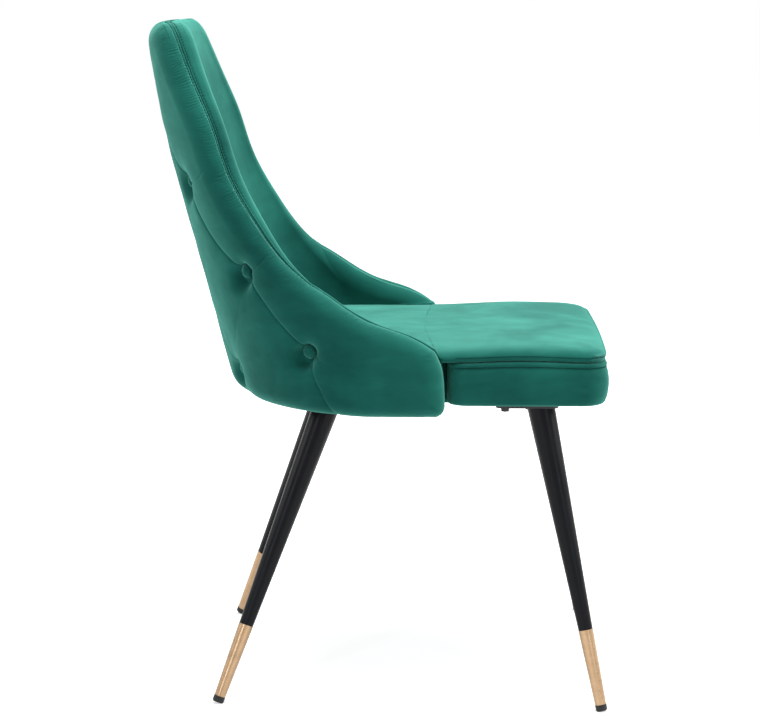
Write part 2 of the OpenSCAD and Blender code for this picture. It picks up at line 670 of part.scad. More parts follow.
module back_buttons() {
    r = button_d / 2;
    color(velvet)
        for (c = buttons) {
            n = button_normal(c);
            translate(button_point(c) + n * gap) rotate([0, acos(n[2]), atan2(n[1], n[0])])
                rotate_extrude() polygon(concat([[0, 0], [r - 1, 0], [r, 1.4]],
                    [for (a = [10:10:90]) [r * pow(cos(a), 0.8), 1.4 + 5.6 * sin(a)]]));
        }
}

seat_board();
seat_foam();
seat_boxing();
seat_top_panel();
seat_dust_cover();
back_board();
back_rail();
back_inner_pad();
back_outer_pad();
back_buttons();
back_straps();
strap_screws();
leg(true, 1);  // leg_front_left
leg(true, -1);  // leg_front_right
leg(false, 1);  // leg_rear_left
leg(false, -1);  // leg_rear_right
ferrule(true, 1);  // ferrule_front_left
ferrule(true, -1);  // ferrule_front_right
ferrule(false, 1);  // ferrule_rear_left
ferrule(false, -1);  // ferrule_rear_right
glide(true, 1);  // glide_front_left
glide(true, -1);  // glide_front_right
glide(false, 1);  // glide_rear_left
glide(false, -1);  // glide_rear_right
leg_plate(true, 1);  // leg_plate_front_left
leg_plate(true, -1);  // leg_plate_front_right
leg_plate(false, 1);  // leg_plate_rear_left
leg_plate(false, -1);  // leg_plate_rear_right
leg_bolts();
leg_washers();
leg_tee_nuts();
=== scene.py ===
import math

import bmesh
import bpy
import numpy as np
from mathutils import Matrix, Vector, kdtree, noise


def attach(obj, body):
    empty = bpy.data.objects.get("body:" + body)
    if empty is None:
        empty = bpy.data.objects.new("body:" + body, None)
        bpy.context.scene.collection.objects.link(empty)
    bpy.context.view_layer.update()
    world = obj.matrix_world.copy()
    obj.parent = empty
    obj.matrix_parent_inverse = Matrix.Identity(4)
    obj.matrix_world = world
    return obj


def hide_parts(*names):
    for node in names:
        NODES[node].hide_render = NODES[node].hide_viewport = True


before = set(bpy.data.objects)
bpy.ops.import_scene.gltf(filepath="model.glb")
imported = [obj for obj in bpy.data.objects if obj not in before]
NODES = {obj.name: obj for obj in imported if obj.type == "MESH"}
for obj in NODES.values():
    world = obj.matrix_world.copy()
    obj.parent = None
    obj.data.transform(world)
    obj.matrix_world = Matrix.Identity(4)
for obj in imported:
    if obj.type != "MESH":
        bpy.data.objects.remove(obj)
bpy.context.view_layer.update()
MM = 0.001

# ---------------------------------------------------------------------------
# the back's shell, in millimetres: the same named sizes as the solid model
# ---------------------------------------------------------------------------
SHELL_TOP, SHELL_LOW, RECLINE = 867.0, 379.0, 14.8
HALF_SEAT, HALF_TOP, DEEP_SEAT, DEEP_TOP = 236.5, 191.5, 183.5, 106.0
WING_REACH, REAR_Y, SHELL_THICK = 293.0, 190.5, 53.0
TOP_CORNER, TIP_CORNER = 21.0, 14.0
FLARE_Z, FLARE_LEN, FLARE_POWER = 464.0, 114.0, 1.6
CREST_Z, CREST_BEND = 700.0, 0.00059
# how far forward the shell's edge stands: share of the shell's height, share of the wing's reach
EDGE_PROFILE = [(0, 0.956), (0.085, 0.988), (0.135, 0.997), (0.18, 0.975), (0.22, 0.893), (0.26, 0.728),
                (0.33, 0.572), (0.4, 0.413), (0.49, 0.312), (0.6, 0.232), (0.74, 0.205), (0.86, 0.142),
                (1, 0.063)]
# the inner pad's lower edge is lifted over the seat's board, between the wings
BOARD_Z, LIFT_OVER_BOARD = 392.0, 30.0
PAD_LIFT = BOARD_Z + LIFT_OVER_BOARD - SHELL_LOW
LIFT_DEG, LIFT_FADE_DEG, LIFT_FADE_Z = 110.0, 10.0, 150.0
RIM_ROLL, BOARD_BACK = 26.0, 34.8
TUFT_Z, TUFT_PITCH, TUFT_RISE, TUFT_ROWS = 780.0, 123.0, 5.5, 3
TUFT_TOP_DEG, TUFT_LOW_DEG, TUFT_TURN_Z, TUFT_TURN = 27.6, 23.2, 560.0, 130.0
TUFT_DEPTH, BUTTON_R, GAP = 16.0, 8.5, 0.3

RAD = math.pi / 180


def flare(z):
    """1 where the shell is as wide as the seat, falling toward 0 up the back."""
    return 1 / (1 + (np.maximum(0, z - FLARE_Z) / FLARE_LEN) ** FLARE_POWER)


def half(z):
    """Half the shell's width at height z."""
    return HALF_TOP + (HALF_SEAT - HALF_TOP) * flare(z)


def deep(z):
    """Depth of the shell's round part at height z."""
    return DEEP_TOP + (DEEP_SEAT - DEEP_TOP) * flare(z)


def rear(z):
    """How far back the shell's middle stands at height z."""
    return REAR_Y + (z - SHELL_LOW) * math.tan(RECLINE * RAD) - CREST_BEND * np.maximum(0, z - CREST_Z) ** 2


def unit(v):
    """The same directions with length 1."""
    return v / np.linalg.norm(v, axis=-1, keepdims=True)


def plan(q, z):
    """Where the outer skin stands at angle q round the back, height z."""
    a = np.abs(q)
    w, d = half(z), deep(z)
    round_part = np.minimum(a, 90) * RAD
    x = np.sign(q) * w * np.sin(round_part)
    y = rear(z) - d * (1 - np.cos(round_part)) - np.maximum(0, a - 90) * d * RAD
    return x, y


def normal(q, z):
    """The outer skin's direction outward."""
    a = np.minimum(np.abs(q), 90) * RAD
    nx, ny = np.sign(q) * np.sin(a) / half(z), np.cos(a) / deep(z)
    (x1, y1), (x0, y0) = plan(q, z + 1), plan(q, z - 1)
    return unit(np.stack([nx, ny, -(nx * (x1 - x0) + ny * (y1 - y0)) / 2], -1))


def skin(q, z, h):
    """The point h millimetres outside the outer skin at angle q and height z."""
    q, z, h = np.broadcast_arrays(np.asarray(q, float), np.asarray(z, float), np.asarray(h, float))
    x, y = plan(q, z)
    return np.stack([x, y, z], -1) + normal(q, z) * h[..., None]


def rate(q, z):
    """Millimetres along the skin for one degree of q."""
    a = np.minimum(np.abs(q), 90) * RAD
    return RAD * np.hypot(half(z) * np.cos(a), deep(z) * np.sin(a))


def smooth_table(tab, x):
    """A smooth curve through the points of a table."""
    xs, ys = np.array([t[0] for t in tab], float), np.array([t[1] for t in tab], float)
    last = len(xs) - 1
    lo, hi = np.maximum(0, np.arange(last + 1) - 1), np.minimum(last, np.arange(last + 1) + 1)
    m = (ys[hi] - ys[lo]) / (xs[hi] - xs[lo])
    i = np.clip(np.searchsorted(xs, x, side="right") - 1, 0, last - 1)
    w = xs[i + 1] - xs[i]
    t = (x - xs[i]) / w
    return ((2 * t**3 - 3 * t**2 + 1) * ys[i] + (t**3 - 2 * t**2 + t) * m[i] * w
            + (3 * t**2 - 2 * t**3) * ys[i + 1] + (t**3 - t**2) * m[i + 1] * w)


def ease(t):
    """A soft step from 0 to 1 as t goes from 0 to 1."""
    t = np.clip(t, 0, 1)
    return t * t * (3 - 2 * t)


def fade(x, reach, power=1.0):
    """1 where x is 0, dying away over about that reach."""
    return np.exp(-((x / reach) ** power))


def corner(r, x):
    """How much a round corner of radius r takes away, x from the corner."""
    return np.where(x >= r, 0, r - np.sqrt(np.maximum(0, r * r - (r - np.clip(x, 0, r)) ** 2)))


def edge_q(z):
    """Angle q at which the shell ends, at height z."""
    z = np.asarray(z, float)
    reach = WING_REACH * smooth_table(EDGE_PROFILE, (z - SHELL_LOW) / (SHELL_TOP - SHELL_LOW))
    d = deep(z)
    q = np.where(reach < d, np.arccos(np.clip(1 - reach / d, -1, 1)) / RAD, 90 + (reach - d) / (d * RAD))
    return q - (corner(TIP_CORNER, z - SHELL_LOW) + corner(TOP_CORNER, SHELL_TOP - z)) / rate(q, z)


def lifted(q):
    """1 between the wings, where a pad's lower edge may be lifted, and 0 in the wings."""
    return ease((LIFT_DEG - np.abs(q)) / LIFT_FADE_DEG)


def length_along(points):
    """Length along a line of points, up to each of them."""
    return np.concatenate([[0], np.cumsum(np.linalg.norm(np.diff(points, axis=0), axis=1))])


# ---------------------------------------------------------------------------
# small tools
# ---------------------------------------------------------------------------
def tree_of(points):
    """A search tree of points."""
    tree = kdtree.KDTree(len(points))
    for i, p in enumerate(points):
        tree.insert(p, i)
    tree.balance()
    return tree


def nearest(points, line):
    """Distance from each point to a dense line of points, and which one is nearest."""
    tree = tree_of(line)
    found = [tree.find(p) for p in points]
    return np.array([f[2] for f in found]), np.array([f[1] for f in found])


NOISE_STEP = (17.3, 5.1, 9.7)


def fine_noise(points, size, seed):
    """Soft noise between -1 and 1, with lumps of about that size in millimetres."""
    shift = Vector([seed * c for c in NOISE_STEP])
    return np.array([noise.noise(Vector(p) / size + shift) for p in points])


def unevenness(points, *layers):
    """Sum of soft noises, each given as height, size of its lumps and seed."""
    return sum(height * fine_noise(points, size, seed) for height, size, seed in layers)


def spaced(points, count):
    """The same line with that many points, evenly spaced."""
    pts = np.asarray(points, float)
    s = length_along(pts)
    at = np.linspace(0, s[-1], count)
    return np.stack([np.interp(at, s, pts[:, k]) for k in range(pts.shape[1])], 1)


def dense(points, step):
    """The same line with a point about every step millimetres."""
    return spaced(points, max(2, int(round(length_along(np.asarray(points, float))[-1] / step))) + 1)


def outward(ob, weld=0.0):
    """Turns a closed piece's faces outward, once points nearer than weld metres are one."""
    bm = bmesh.new()
    bm.from_mesh(ob.data)
    if weld:
        bmesh.ops.remove_doubles(bm, verts=bm.verts, dist=weld)
    bmesh.ops.recalc_face_normals(bm, faces=bm.faces)
    bm.to_mesh(ob.data)
    bm.free()


def mesh_piece(name, verts_mm, faces):
    """A closed, smooth-shaded piece from points in millimetres."""
    me = bpy.data.meshes.new(name)
    me.from_pydata((np.asarray(verts_mm) * MM).tolist(), [], [tuple(int(i) for i in f) for f in faces])
    me.validate()
    me.polygons.foreach_set("use_smooth", [True] * len(me.polygons))
    ob = bpy.data.objects.new(name, me)
    bpy.context.scene.collection.objects.link(ob)
    outward(ob)
    return ob


def fit(ob, material, slot, *nodes):
    """Gives a piece its finish and its body, and hides the solids that it stands for; slot is not used."""
    ob.data.materials.clear()
    ob.data.materials.append(material)
    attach(ob, "root")
    if nodes:
        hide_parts(*nodes)
    return ob


def grid_quads(rows, cols, base=0, flip=False):
    """Faces of a grid of points, whose first point has number base."""
    j, i = np.mgrid[0:rows - 1, 0:cols - 1]
    a = base + j * cols + i
    f = np.stack([a, a + 1, a + cols + 1, a + cols], -1).reshape(-1, 4)
    return f[:, ::-1] if flip else f


def grid_edge(rows, cols, base=0):
    """Index loop round a grid: bottom row, right column, top row, left column."""
    return np.concatenate([base + np.arange(cols), base + cols * np.arange(1, rows) + cols - 1,
                           base + (rows - 1) * cols + np.arange(cols - 2, -1, -1),
                           base + cols * np.arange(rows - 2, 0, -1)])


def loop_quads(a, b):
    """Faces between two closed loops of the same count."""
    n = len(a)
    j = (np.arange(n) + 1) % n
    return np.stack([a, a[j], b[j], b], -1)


def zip_loops(pts, a, b):
    """Triangles between two closed loops of different counts."""
    b = np.roll(b, -int(np.argmin(np.linalg.norm(pts[b] - pts[a[0]], axis=1))))
    na, nb, i, j, out = len(a), len(b), 0, 0, []
    while i < na or j < nb:
        pa, pb = pts[a[i % na]], pts[b[j % nb]]
        da = np.linalg.norm(pts[a[(i + 1) % na]] - pb) if i < na else math.inf
        db = np.linalg.norm(pts[b[(j + 1) % nb]] - pa) if j < nb else math.inf
        if da <= db:
            out.append((a[i % na], a[(i + 1) % na], b[j % nb]))
            i += 1
        else:
            out.append((a[i % na], b[(j + 1) % nb], b[j % nb]))
            j += 1
    return out


# ---------------------------------------------------------------------------
# finishes
# ---------------------------------------------------------------------------
def new_group(name, inputs, outputs):
    """A shader node group with those sockets, and its input and output nodes."""
    g = bpy.data.node_groups.new(name, "ShaderNodeTree")
    for label, kind, value in inputs:
        s = g.interface.new_socket(label, in_out="INPUT", socket_type=kind)
        if value is not None:
            s.default_value = value
    for label, kind in outputs:
        g.interface.new_socket(label, in_out="OUTPUT", socket_type=kind)
    return g, g.nodes.new("NodeGroupInput"), g.nodes.new("NodeGroupOutput")


def link_in(tree, node, socket, value):
    """Links a socket's value in, or sets a plain number."""
    if isinstance(value, bpy.types.NodeSocket):
        tree.links.new(value, node.inputs[socket])
    else:
        node.inputs[socket].default_value = value


def math_node(tree, op, a, b, clamp=False):
    n = tree.nodes.new("ShaderNodeMath")
    n.operation = op
    n.use_clamp = clamp
    link_in(tree, n, 0, a)
    link_in(tree, n, 1, b)
    return n.outputs[0]


def noise_node(tree, vector, scale, detail=3.0, rough=0.5, distort=0.0):
    n = tree.nodes.new("ShaderNodeTexNoise")
    link_in(tree, n, "Vector", vector)
    link_in(tree, n, "Scale", scale)
    n.inputs["Detail"].default_value = detail
    n.inputs["Roughness"].default_value = rough
    n.inputs["Distortion"].default_value = distort
    return n.outputs["Fac"]


def stretched(tree, vector, scale):
    """Texture places with scaled axes: a small scale draws the texture out along that axis."""
    n = tree.nodes.new("ShaderNodeMapping")
    link_in(tree, n, "Vector", vector)
    n.inputs["Scale"].default_value = scale
    return n.outputs["Vector"]


def ranged(tree, value, low, high, to_low=0.0, to_high=1.0):
    n = tree.nodes.new("ShaderNodeMapRange")
    link_in(tree, n, "Value", value)
    for label, v in (("From Min", low), ("From Max", high), ("To Min", to_low), ("To Max", to_high)):
        link_in(tree, n, label, v)
    return n.outputs["Result"]


# the sockets of a Mix node that mixes colours
MIX_FACTOR, MIX_A, MIX_B, MIX_RESULT = 0, 6, 7, 2


def mixed(tree, factor, a, b):
    """Colour between a and b by the factor."""
    n = tree.nodes.new("ShaderNodeMix")
    n.data_type = "RGBA"
    link_in(tree, n, MIX_FACTOR, factor)
    for socket, v in ((MIX_A, a), (MIX_B, b)):
        link_in(tree, n, socket, v if isinstance(v, bpy.types.NodeSocket) else (*v, 1))
    return n.outputs[MIX_RESULT]


def weighted(tree, *parts):
    """Sum of values, each given with its share."""
    total = None
    for value, share in parts:
        part = math_node(tree, "MULTIPLY", value, share)
        total = part if total is None else math_node(tree, "ADD", total, part)
    return total


VECTOR, NUMBER = "NodeSocketVector", "NodeSocketFloat"
# the grain of a velvet's fibres and of a painted surface, in lumps to the metre
FIBRE_GRAIN, PAINT_GRAIN = 1400.0, 900.0
STREAK_AXES = (1.0, 0.45, 1.6)


def nap_group():
    """Pile of a velvet: brushed patches, short streaks and the fibre grain."""
    inputs = [("Vector", VECTOR, None), ("Patch", NUMBER, 7.0), ("Streak", NUMBER, 26.0),
              ("Grain", NUMBER, FIBRE_GRAIN)]
    g, i, o = new_group("Velvet nap", inputs, [("Shade", NUMBER), ("Height", NUMBER)])
    v = i.outputs["Vector"]
    patch = noise_node(g, v, i.outputs["Patch"], detail=3, rough=0.55, distort=0.6)
    patch = ranged(g, patch, 0.3, 0.72)
    drawn_out = stretched(g, v, STREAK_AXES)
    streak = noise_node(g, drawn_out, i.outputs["Streak"], detail=4, rough=0.6, distort=0.4)
    streak = ranged(g, streak, 0.25, 0.75)
    grain = noise_node(g, v, i.outputs["Grain"], detail=2, rough=0.7)
    g.links.new(weighted(g, (patch, 0.5), (streak, 0.28), (grain, 0.22)), o.inputs["Shade"])
    g.links.new(weighted(g, (grain, 0.7), (streak, 0.3)), o.inputs["Height"])
    return g


def speck_group():
    """Fine unevenness of a metal or painted surface: soft smudges and a tight grain."""
    inputs = [("Vector", VECTOR, None), ("Smudge", NUMBER, 30.0), ("Grain", NUMBER, PAINT_GRAIN)]
    g, i, o = new_group("Surface speck", inputs, [("Smudge", NUMBER), ("Grain", NUMBER)])
    smudge = noise_node(g, i.outputs["Vector"], i.outputs["Smudge"], detail=4, rough=0.6)
    g.links.new(ranged(g, smudge, 0.3, 0.7), o.inputs["Smudge"])
    grain = noise_node(g, i.outputs["Vector"], i.outputs["Grain"], detail=2, rough=0.6)
    g.links.new(grain, o.inputs["Grain"])
    return g


NAP, SPECK = nap_group(), speck_group()


def material(name):
    """A new material, its node tree, its shader and the place on the object."""
    m = bpy.data.materials.new(name)
    m.use_nodes = True
    t = m.node_tree
    shader = t.nodes["Principled BSDF"]
    place = t.nodes.new("ShaderNodeTexCoord").outputs["Object"]
    return m, t, shader, place


def grouped(t, group, vector, **values):
    """A group placed in a material with its own values."""
    n = t.nodes.new("ShaderNodeGroup")
    n.node_tree = group
    t.links.new(vector, n.inputs["Vector"])
    for label, v in values.items():
        n.inputs[label].default_value = v
    return n


def bumped(t, shader, height, distance, strength):
    """Fine relief of a surface, at most distance metres deep."""
    b = t.nodes.new("ShaderNodeBump")
    b.inputs["Distance"].default_value = distance
    b.inputs["Strength"].default_value = strength
    t.links.new(height, b.inputs["Height"])
    t.links.new(b.outputs["Normal"], shader.inputs["Normal"])


# the velvet's deep and mid tones, and the pale green that its painted sheen mixes in
VELVET_DEEP, VELVET_MID, VELVET_PAINTED_SHEEN = (0.0055, 0.068, 0.055), (0.012, 0.128, 0.098), (0.12, 0.5, 0.4)
VELVET_SHEEN = (0.35, 0.86, 0.74, 1)
CLOTH_SHINE, PAINT_SHINE = 0.04, 0.32
# painted sheen: the base colour is painted paler where the cloth turns away from the view: share at least,
# share by the nap, the most
PAINTED_SHEEN_LEAST, PAINTED_SHEEN_BY_NAP, PAINTED_SHEEN_MOST, PAINTED_SHEEN_POWER = 0.45, 0.5, 0.8, 2.2


def velvet(name, patch, streak):
    """Cut-pile velvet: brushed tones, a sheen painted into its colour as a paler green where it turns away
    from the view, and the shader's soft sheen.
    """
    m, t, shader, place = material(name)
    nap = grouped(t, NAP, place, Patch=patch, Streak=streak)
    tone = ranged(t, nap.outputs["Shade"], 0.25, 0.8)
    colour = mixed(t, tone, VELVET_DEEP, VELVET_MID)
    rim = t.nodes.new("ShaderNodeLayerWeight")
    rim.inputs["Blend"].default_value = 0.42
    # painted sheen: the base colour is painted toward pale green where the cloth faces away from the view
    glow = math_node(t, "POWER", rim.outputs["Facing"], PAINTED_SHEEN_POWER)
    by_nap = math_node(t, "ADD", math_node(t, "MULTIPLY", tone, PAINTED_SHEEN_BY_NAP), PAINTED_SHEEN_LEAST)
    glow = math_node(t, "MULTIPLY", glow, by_nap)
    colour = mixed(t, math_node(t, "MULTIPLY", glow, PAINTED_SHEEN_MOST, clamp=True), colour, VELVET_PAINTED_SHEEN)
    t.links.new(colour, shader.inputs["Base Color"])
    t.links.new(ranged(t, tone, 0, 1, 0.88, 0.68), shader.inputs["Roughness"])
    shader.inputs["Specular IOR Level"].default_value = CLOTH_SHINE
    shader.inputs["Sheen Weight"].default_value = 0.3
    shader.inputs["Sheen Roughness"].default_value = 0.38
    shader.inputs["Sheen Tint"].default_value = VELVET_SHEEN
    bumped(t, shader, nap.outputs["Height"], distance=0.0004, strength=0.55)
    return m


SMUDGE_PALER, FELT_PALER = 1.35, 2.4
SMUDGE_DULLER, GRAIN_DULLER = 0.1, 0.12


def painted(name, colour, rough, coat, smudge, bump=0.00003, shine=PAINT_SHINE):
    """Powder coat, plastic or thread: one colour with faint smudges and a tight grain."""
    m, t, shader, place = material(name)
    speck = grouped(t, SPECK, place, Smudge=smudge)
    tone = speck.outputs["Smudge"]
    t.links.new(mixed(t, tone, colour, [c * SMUDGE_PALER for c in colour]), shader.inputs["Base Color"])
    t.links.new(ranged(t, tone, 0, 1, rough, rough + SMUDGE_DULLER), shader.inputs["Roughness"])
    shader.inputs["Coat Weight"].default_value = coat
    shader.inputs["Coat Roughness"].default_value = 0.25
    shader.inputs["Specular IOR Level"].default_value = shine
    bumped(t, shader, speck.outputs["Grain"], bump, strength=0.6)
    return m


def metal(name, colour, shadow, rough, streak):
    """Plated metal, whose grain runs across the axis that streak scales up."""
    m, t, shader, place = material(name)
    speck = grouped(t, SPECK, stretched(t, place, streak), Smudge=40.0, Grain=700.0)
    t.links.new(mixed(t, speck.outputs["Smudge"], shadow, colour), shader.inputs["Base Color"])
    dull = ranged(t, speck.outputs["Grain"], 0.3, 0.7, rough, rough + GRAIN_DULLER)
    t.links.new(dull, shader.inputs["Roughness"])
    shader.inputs["Metallic"].default_value = 1.0
    bumped(t, shader, speck.outputs["Grain"], distance=0.00002, strength=0.5)
    return m


BIRCH_DARK, BIRCH_PALE = (0.36, 0.22, 0.105), (0.62, 0.44, 0.26)
RING_AXES, FLECK_AXES, FLECK_SCALE = (1.0, 0.08, 6.0), (1, 0.06, 1), 420


def birch(name):
    """Birch ply: wavy rings drawn out along the sheet, and fine flecks."""
    m, t, shader, place = material(name)
    ring = t.nodes.new("ShaderNodeTexWave")
    ring.wave_type, ring.bands_direction = "BANDS", "X"
    t.links.new(stretched(t, place, RING_AXES), ring.inputs["Vector"])
    ring.inputs["Scale"].default_value = 18
    ring.inputs["Distortion"].default_value = 5
    ring.inputs["Detail"].default_value = 3
    fleck = noise_node(t, stretched(t, place, FLECK_AXES), FLECK_SCALE, detail=3, rough=0.7)
    grainy = weighted(t, (ring.outputs["Fac"], 0.6), (fleck, 0.4))
    t.links.new(mixed(t, grainy, BIRCH_DARK, BIRCH_PALE), shader.inputs["Base Color"])
    t.links.new(ranged(t, grainy, 0, 1, 0.6, 0.75), shader.inputs["Roughness"])
    bumped(t, shader, grainy, distance=0.0002, strength=0.5)
    return m


def felt(name, colour):
    """Non-woven dust cloth or cut foam: a matt, closely mottled surface."""
    m, t, shader, place = material(name)
    nap = grouped(t, NAP, place, Patch=18.0, Streak=210.0, Grain=2600.0)
    shade = nap.outputs["Shade"]
    t.links.new(mixed(t, shade, colour, [c * FELT_PALER for c in colour]), shader.inputs["Base Color"])
    t.links.new(ranged(t, shade, 0, 1, 0.95, 0.8), shader.inputs["Roughness"])
    bumped(t, shader, nap.outputs["Height"], distance=0.0003, strength=0.7)
    return m


OUTER = velvet("velvet_outer", patch=6.5, streak=24.0)
INNER = velvet("velvet_inner", patch=5.0, streak=18.0)
SEAT = velvet("velvet_seat", patch=8.0, streak=34.0)
BUTTON = velvet("velvet_button", patch=40.0, streak=120.0)
THREAD = painted("thread_green", (0.004, 0.035, 0.028), rough=0.7, coat=0.0, smudge=300.0, shine=CLOTH_SHINE)
BLACK = painted("leg_black", (0.003, 0.0034, 0.0046), rough=0.27, coat=0.0, smudge=22.0, shine=0.12)
STEEL_BLACK = painted("black_steel", (0.012, 0.012, 0.014), rough=0.45, coat=0.1, smudge=60.0, bump=0.00006)
GOLD = metal("ferrule_gold", (0.43, 0.29, 0.175), (0.36, 0.24, 0.14), rough=0.24, streak=(1, 1, 3))
ZINC = metal("zinc_steel", (0.62, 0.63, 0.66), (0.42, 0.43, 0.45), rough=0.3, streak=(1, 1, 1))
GLIDE = painted("glide_plastic", (0.012, 0.012, 0.012), rough=0.55, coat=0.0, smudge=80.0)
PLY = birch("plywood")
DUST = felt("dust_cloth", (0.008, 0.008, 0.009))
FOAM = felt("foam", (0.62, 0.55, 0.4))


# ---------------------------------------------------------------------------
# the two pads of the back
# ---------------------------------------------------------------------------
EDGE_STEPS, FACE_EDGE_LINES, FACE_ROWS, FACE_COLS = 900, 7, 150, 116
CREASE_NEAR, CREASE_NEARER, RIM_NEARER = 30.0, 9.0, 0.45
LOW_FIRST = 10


def face_grid(lift, roll, edge_lines, rows, cols):
    """Angles and heights of a pad's face as a grid, tight along its edges; rows run from wing to wing."""
    heights = np.linspace(SHELL_LOW, SHELL_TOP, EDGE_STEPS)
    s = length_along(skin(edge_q(heights), heights, 0))
    middle = np.interp(np.linspace(0, s[-1], rows), s, heights)
    middle = middle[(middle > SHELL_LOW + roll + 1) & (middle < SHELL_TOP - roll - 1)]
    steps = roll * (1 - np.cos(np.linspace(0, math.pi / 2, edge_lines)))
    z = np.concatenate([SHELL_LOW + steps, middle, (SHELL_TOP - steps)[::-1]])
    e = edge_q(z)
    right = e[:, None] - steps[None, :] / rate(e, z)[:, None]
    inner = right[:, -1:] * np.linspace(-1, 1, cols)[None, 1:-1]
    q = np.concatenate([-right, inner, right[:, ::-1]], 1)
    z = np.repeat(z[:, None], q.shape[1], 1)
    return q, z + lift * lifted(q) * (1 - ease((z - SHELL_LOW) / LIFT_FADE_Z))


def refined(q, z, lines, rim):
    """The grid as a flat mesh of angle and height, made finer beside the given lines and the rim.

    Also returns its faces, and its edge as a loop that starts low at the left and goes right.
    """
    bm = bmesh.new()
    verts = [bm.verts.new((a, b, 0)) for a, b in zip(q.ravel(), z.ravel())]
    for f in grid_quads(*q.shape):
        bm.faces.new([verts[i] for i in f])
    tree = tree_of(lines)
    for reach, rim_reach, cuts in ((CREASE_NEAR, rim, 1), (CREASE_NEARER, rim * RIM_NEARER, 2)):
        bm.verts.index_update()
        flat = np.array([v.co[:2] for v in bm.verts])
        at = skin(flat[:, 0], flat[:, 1], 0)
        close = np.array([tree.find(p)[2] < reach for p in at])
        edge = np.array([v.is_boundary for v in bm.verts])
        pick = close | (nearest(at, at[edge])[0] < rim_reach)
        faces = [f for f in bm.faces if any(pick[v.index] for v in f.verts)]
        edges = list({e for f in faces for e in f.edges})
        bmesh.ops.subdivide_edges(bm, edges=edges, cuts=cuts, use_grid_fill=True)
    bm.verts.index_update()
    flat = np.array([v.co[:2] for v in bm.verts])
    faces = [tuple(v.index for v in f.verts) for f in bm.faces]
    step = {}
    for e in bm.edges:
        if e.is_boundary:
            a, b = (v.index for v in e.verts)
            step.setdefault(a, []).append(b)
            step.setdefault(b, []).append(a)
    bm.free()
    start = min(step, key=lambda i: flat[i, 0] + flat[i, 1] * LOW_FIRST)
    loop = [start, max(step[start], key=lambda i: flat[i, 0])]
    while True:
        a, b = step[loop[-1]]
        nxt = b if a == loop[-2] else a
        if nxt == start:
            return flat, faces, np.array(loop)
        loop.append(nxt)


def round_run(points):
    """Length run along a closed loop to each of its points, and the whole length."""
    d = np.linalg.norm(np.roll(points, -1, 0) - points, axis=1)
    return np.concatenate([[0], np.cumsum(d)[:-1]]), d.sum()


# an edge's direction is taken over this length each way; rings further in than DEEP_FROM take a longer one
EDGE_REACH, DEEP_REACH, DEEP_FROM = 7.0, 40.0, 8.0


def lean_in(lq, lz, reach):
    """Inward direction at each point of an edge loop, in millimetres along and up the skin."""
    run, total = round_run(skin(lq, lz, 0))
    wide = np.concatenate([run - total, run, run + total])
    dq, dz = (np.interp(run + reach, wide, np.tile(c, 3)) - np.interp(run - reach, wide, np.tile(c, 3))
              for c in (lq, lz))
    t = unit(np.stack([dq * rate(lq, lz), dz], 1))
    return np.stack([-t[:, 1], t[:, 0]], 1)


def inset_skin(lq, lz, inset, h, reach=EDGE_REACH):
    """Points inset along the skin from an edge loop, h millimetres outside it."""
    d = lean_in(lq, lz, reach)
    return skin(lq + d[:, 0] * inset / rate(lq, lz), lz + d[:, 1] * inset, h)


def inward3(lq, lz):
    """Inward direction at the edge in space."""
    return unit(inset_skin(lq, lz, 1, 0) - skin(lq, lz, 0))


def rim_ring(lq, lz, inset, depth, lift):
    """Ring inside a pad's edge; where the lower edge is lifted it lies flat at the board."""
    raised = np.where(lz < SHELL_LOW + lift + 1, lifted(lq), 0) if lift else 0
    h = depth + (min(depth, -BOARD_BACK) - depth) * raised
    return inset_skin(lq, lz, inset, h, EDGE_REACH if inset < DEEP_FROM else DEEP_REACH)


def tuft_deg(z):
    """Angle between neighbours of the button lattice, narrower low on the back."""
    return TUFT_TOP_DEG - (TUFT_TOP_DEG - TUFT_LOW_DEG) * ease((TUFT_TURN_Z - z) / TUFT_TURN)


def lattice(k, r):
    """Angle and height of a point of the button lattice, k half diamonds sideways and r rows down."""
    z = TUFT_Z - TUFT_PITCH * np.asarray(r, float) + TUFT_RISE * np.minimum(np.abs(k), TUFT_ROWS) ** 2
    return k * tuft_deg(z), z


BUTTONS = [(k, r) for r in range(TUFT_ROWS + 1) for k in range(-r, r + 1, 2)]
# folds and pleats of the right half, between lattice points: from, to, sideways bow, depth share
FOLDS = [((0, 0), (1, 1), 0.05, 1), ((1, 1), (2, 2), 0.06, 1), ((2, 2), (3, 3), 0.05, 1),
         ((1, 1), (0, 2), 0.04, 0.4), ((0, 2), (1, 3), 0.04, 0.6), ((2, 2), (1, 3), 0.05, 0.3),
         ((0, 0), (0, -0.55), 0, 0.4), ((3, 3), (3.3, 3.75), 0.04, 1.0), ((1, 3), (1.2, 3.55), 0.03, 1.2)]
PLEATS = [((1, 1), (1.93, 0.96), 0.03, 1), ((2, 2), (2.95, 1.86), 0.05, 1), ((3, 3), (4.4, 3.28), 0.06, 0.6),
          ((0, 0), (0.75, -0.12), 0.02, 0.4)]
CREASE_POINTS = 90


def lattice_line(a, b, bow):
    """Points of the skin along a bowed line between two lattice points."""
    t = np.linspace(0, 1, CREASE_POINTS)
    k, r = a[0] + (b[0] - a[0]) * t, a[1] + (b[1] - a[1]) * t + bow * np.sin(math.pi * t)
    return skin(*lattice(k, r), 0)


def crease_lines(table):
    """Points along both halves' creases and the depth share at each."""
    points, share = [], []
    for a, b, bow, s in table:
        line = lattice_line(a, b, bow)
        points += [line, line * [-1, 1, 1]]
        share += [s] * (2 * len(line))
    return np.vstack(points), np.array(share)


# how the velvet sinks: first round a button's seat, steep and then wide
SEAT_MARGIN, SEAT_NEAR = 0.5, 48.0
STEEP_SHARE, STEEP_REACH = 0.6, 5.0
WIDE_SHARE, WIDE_REACH, WIDE_POWER = 0.4, 27.0, 1.25
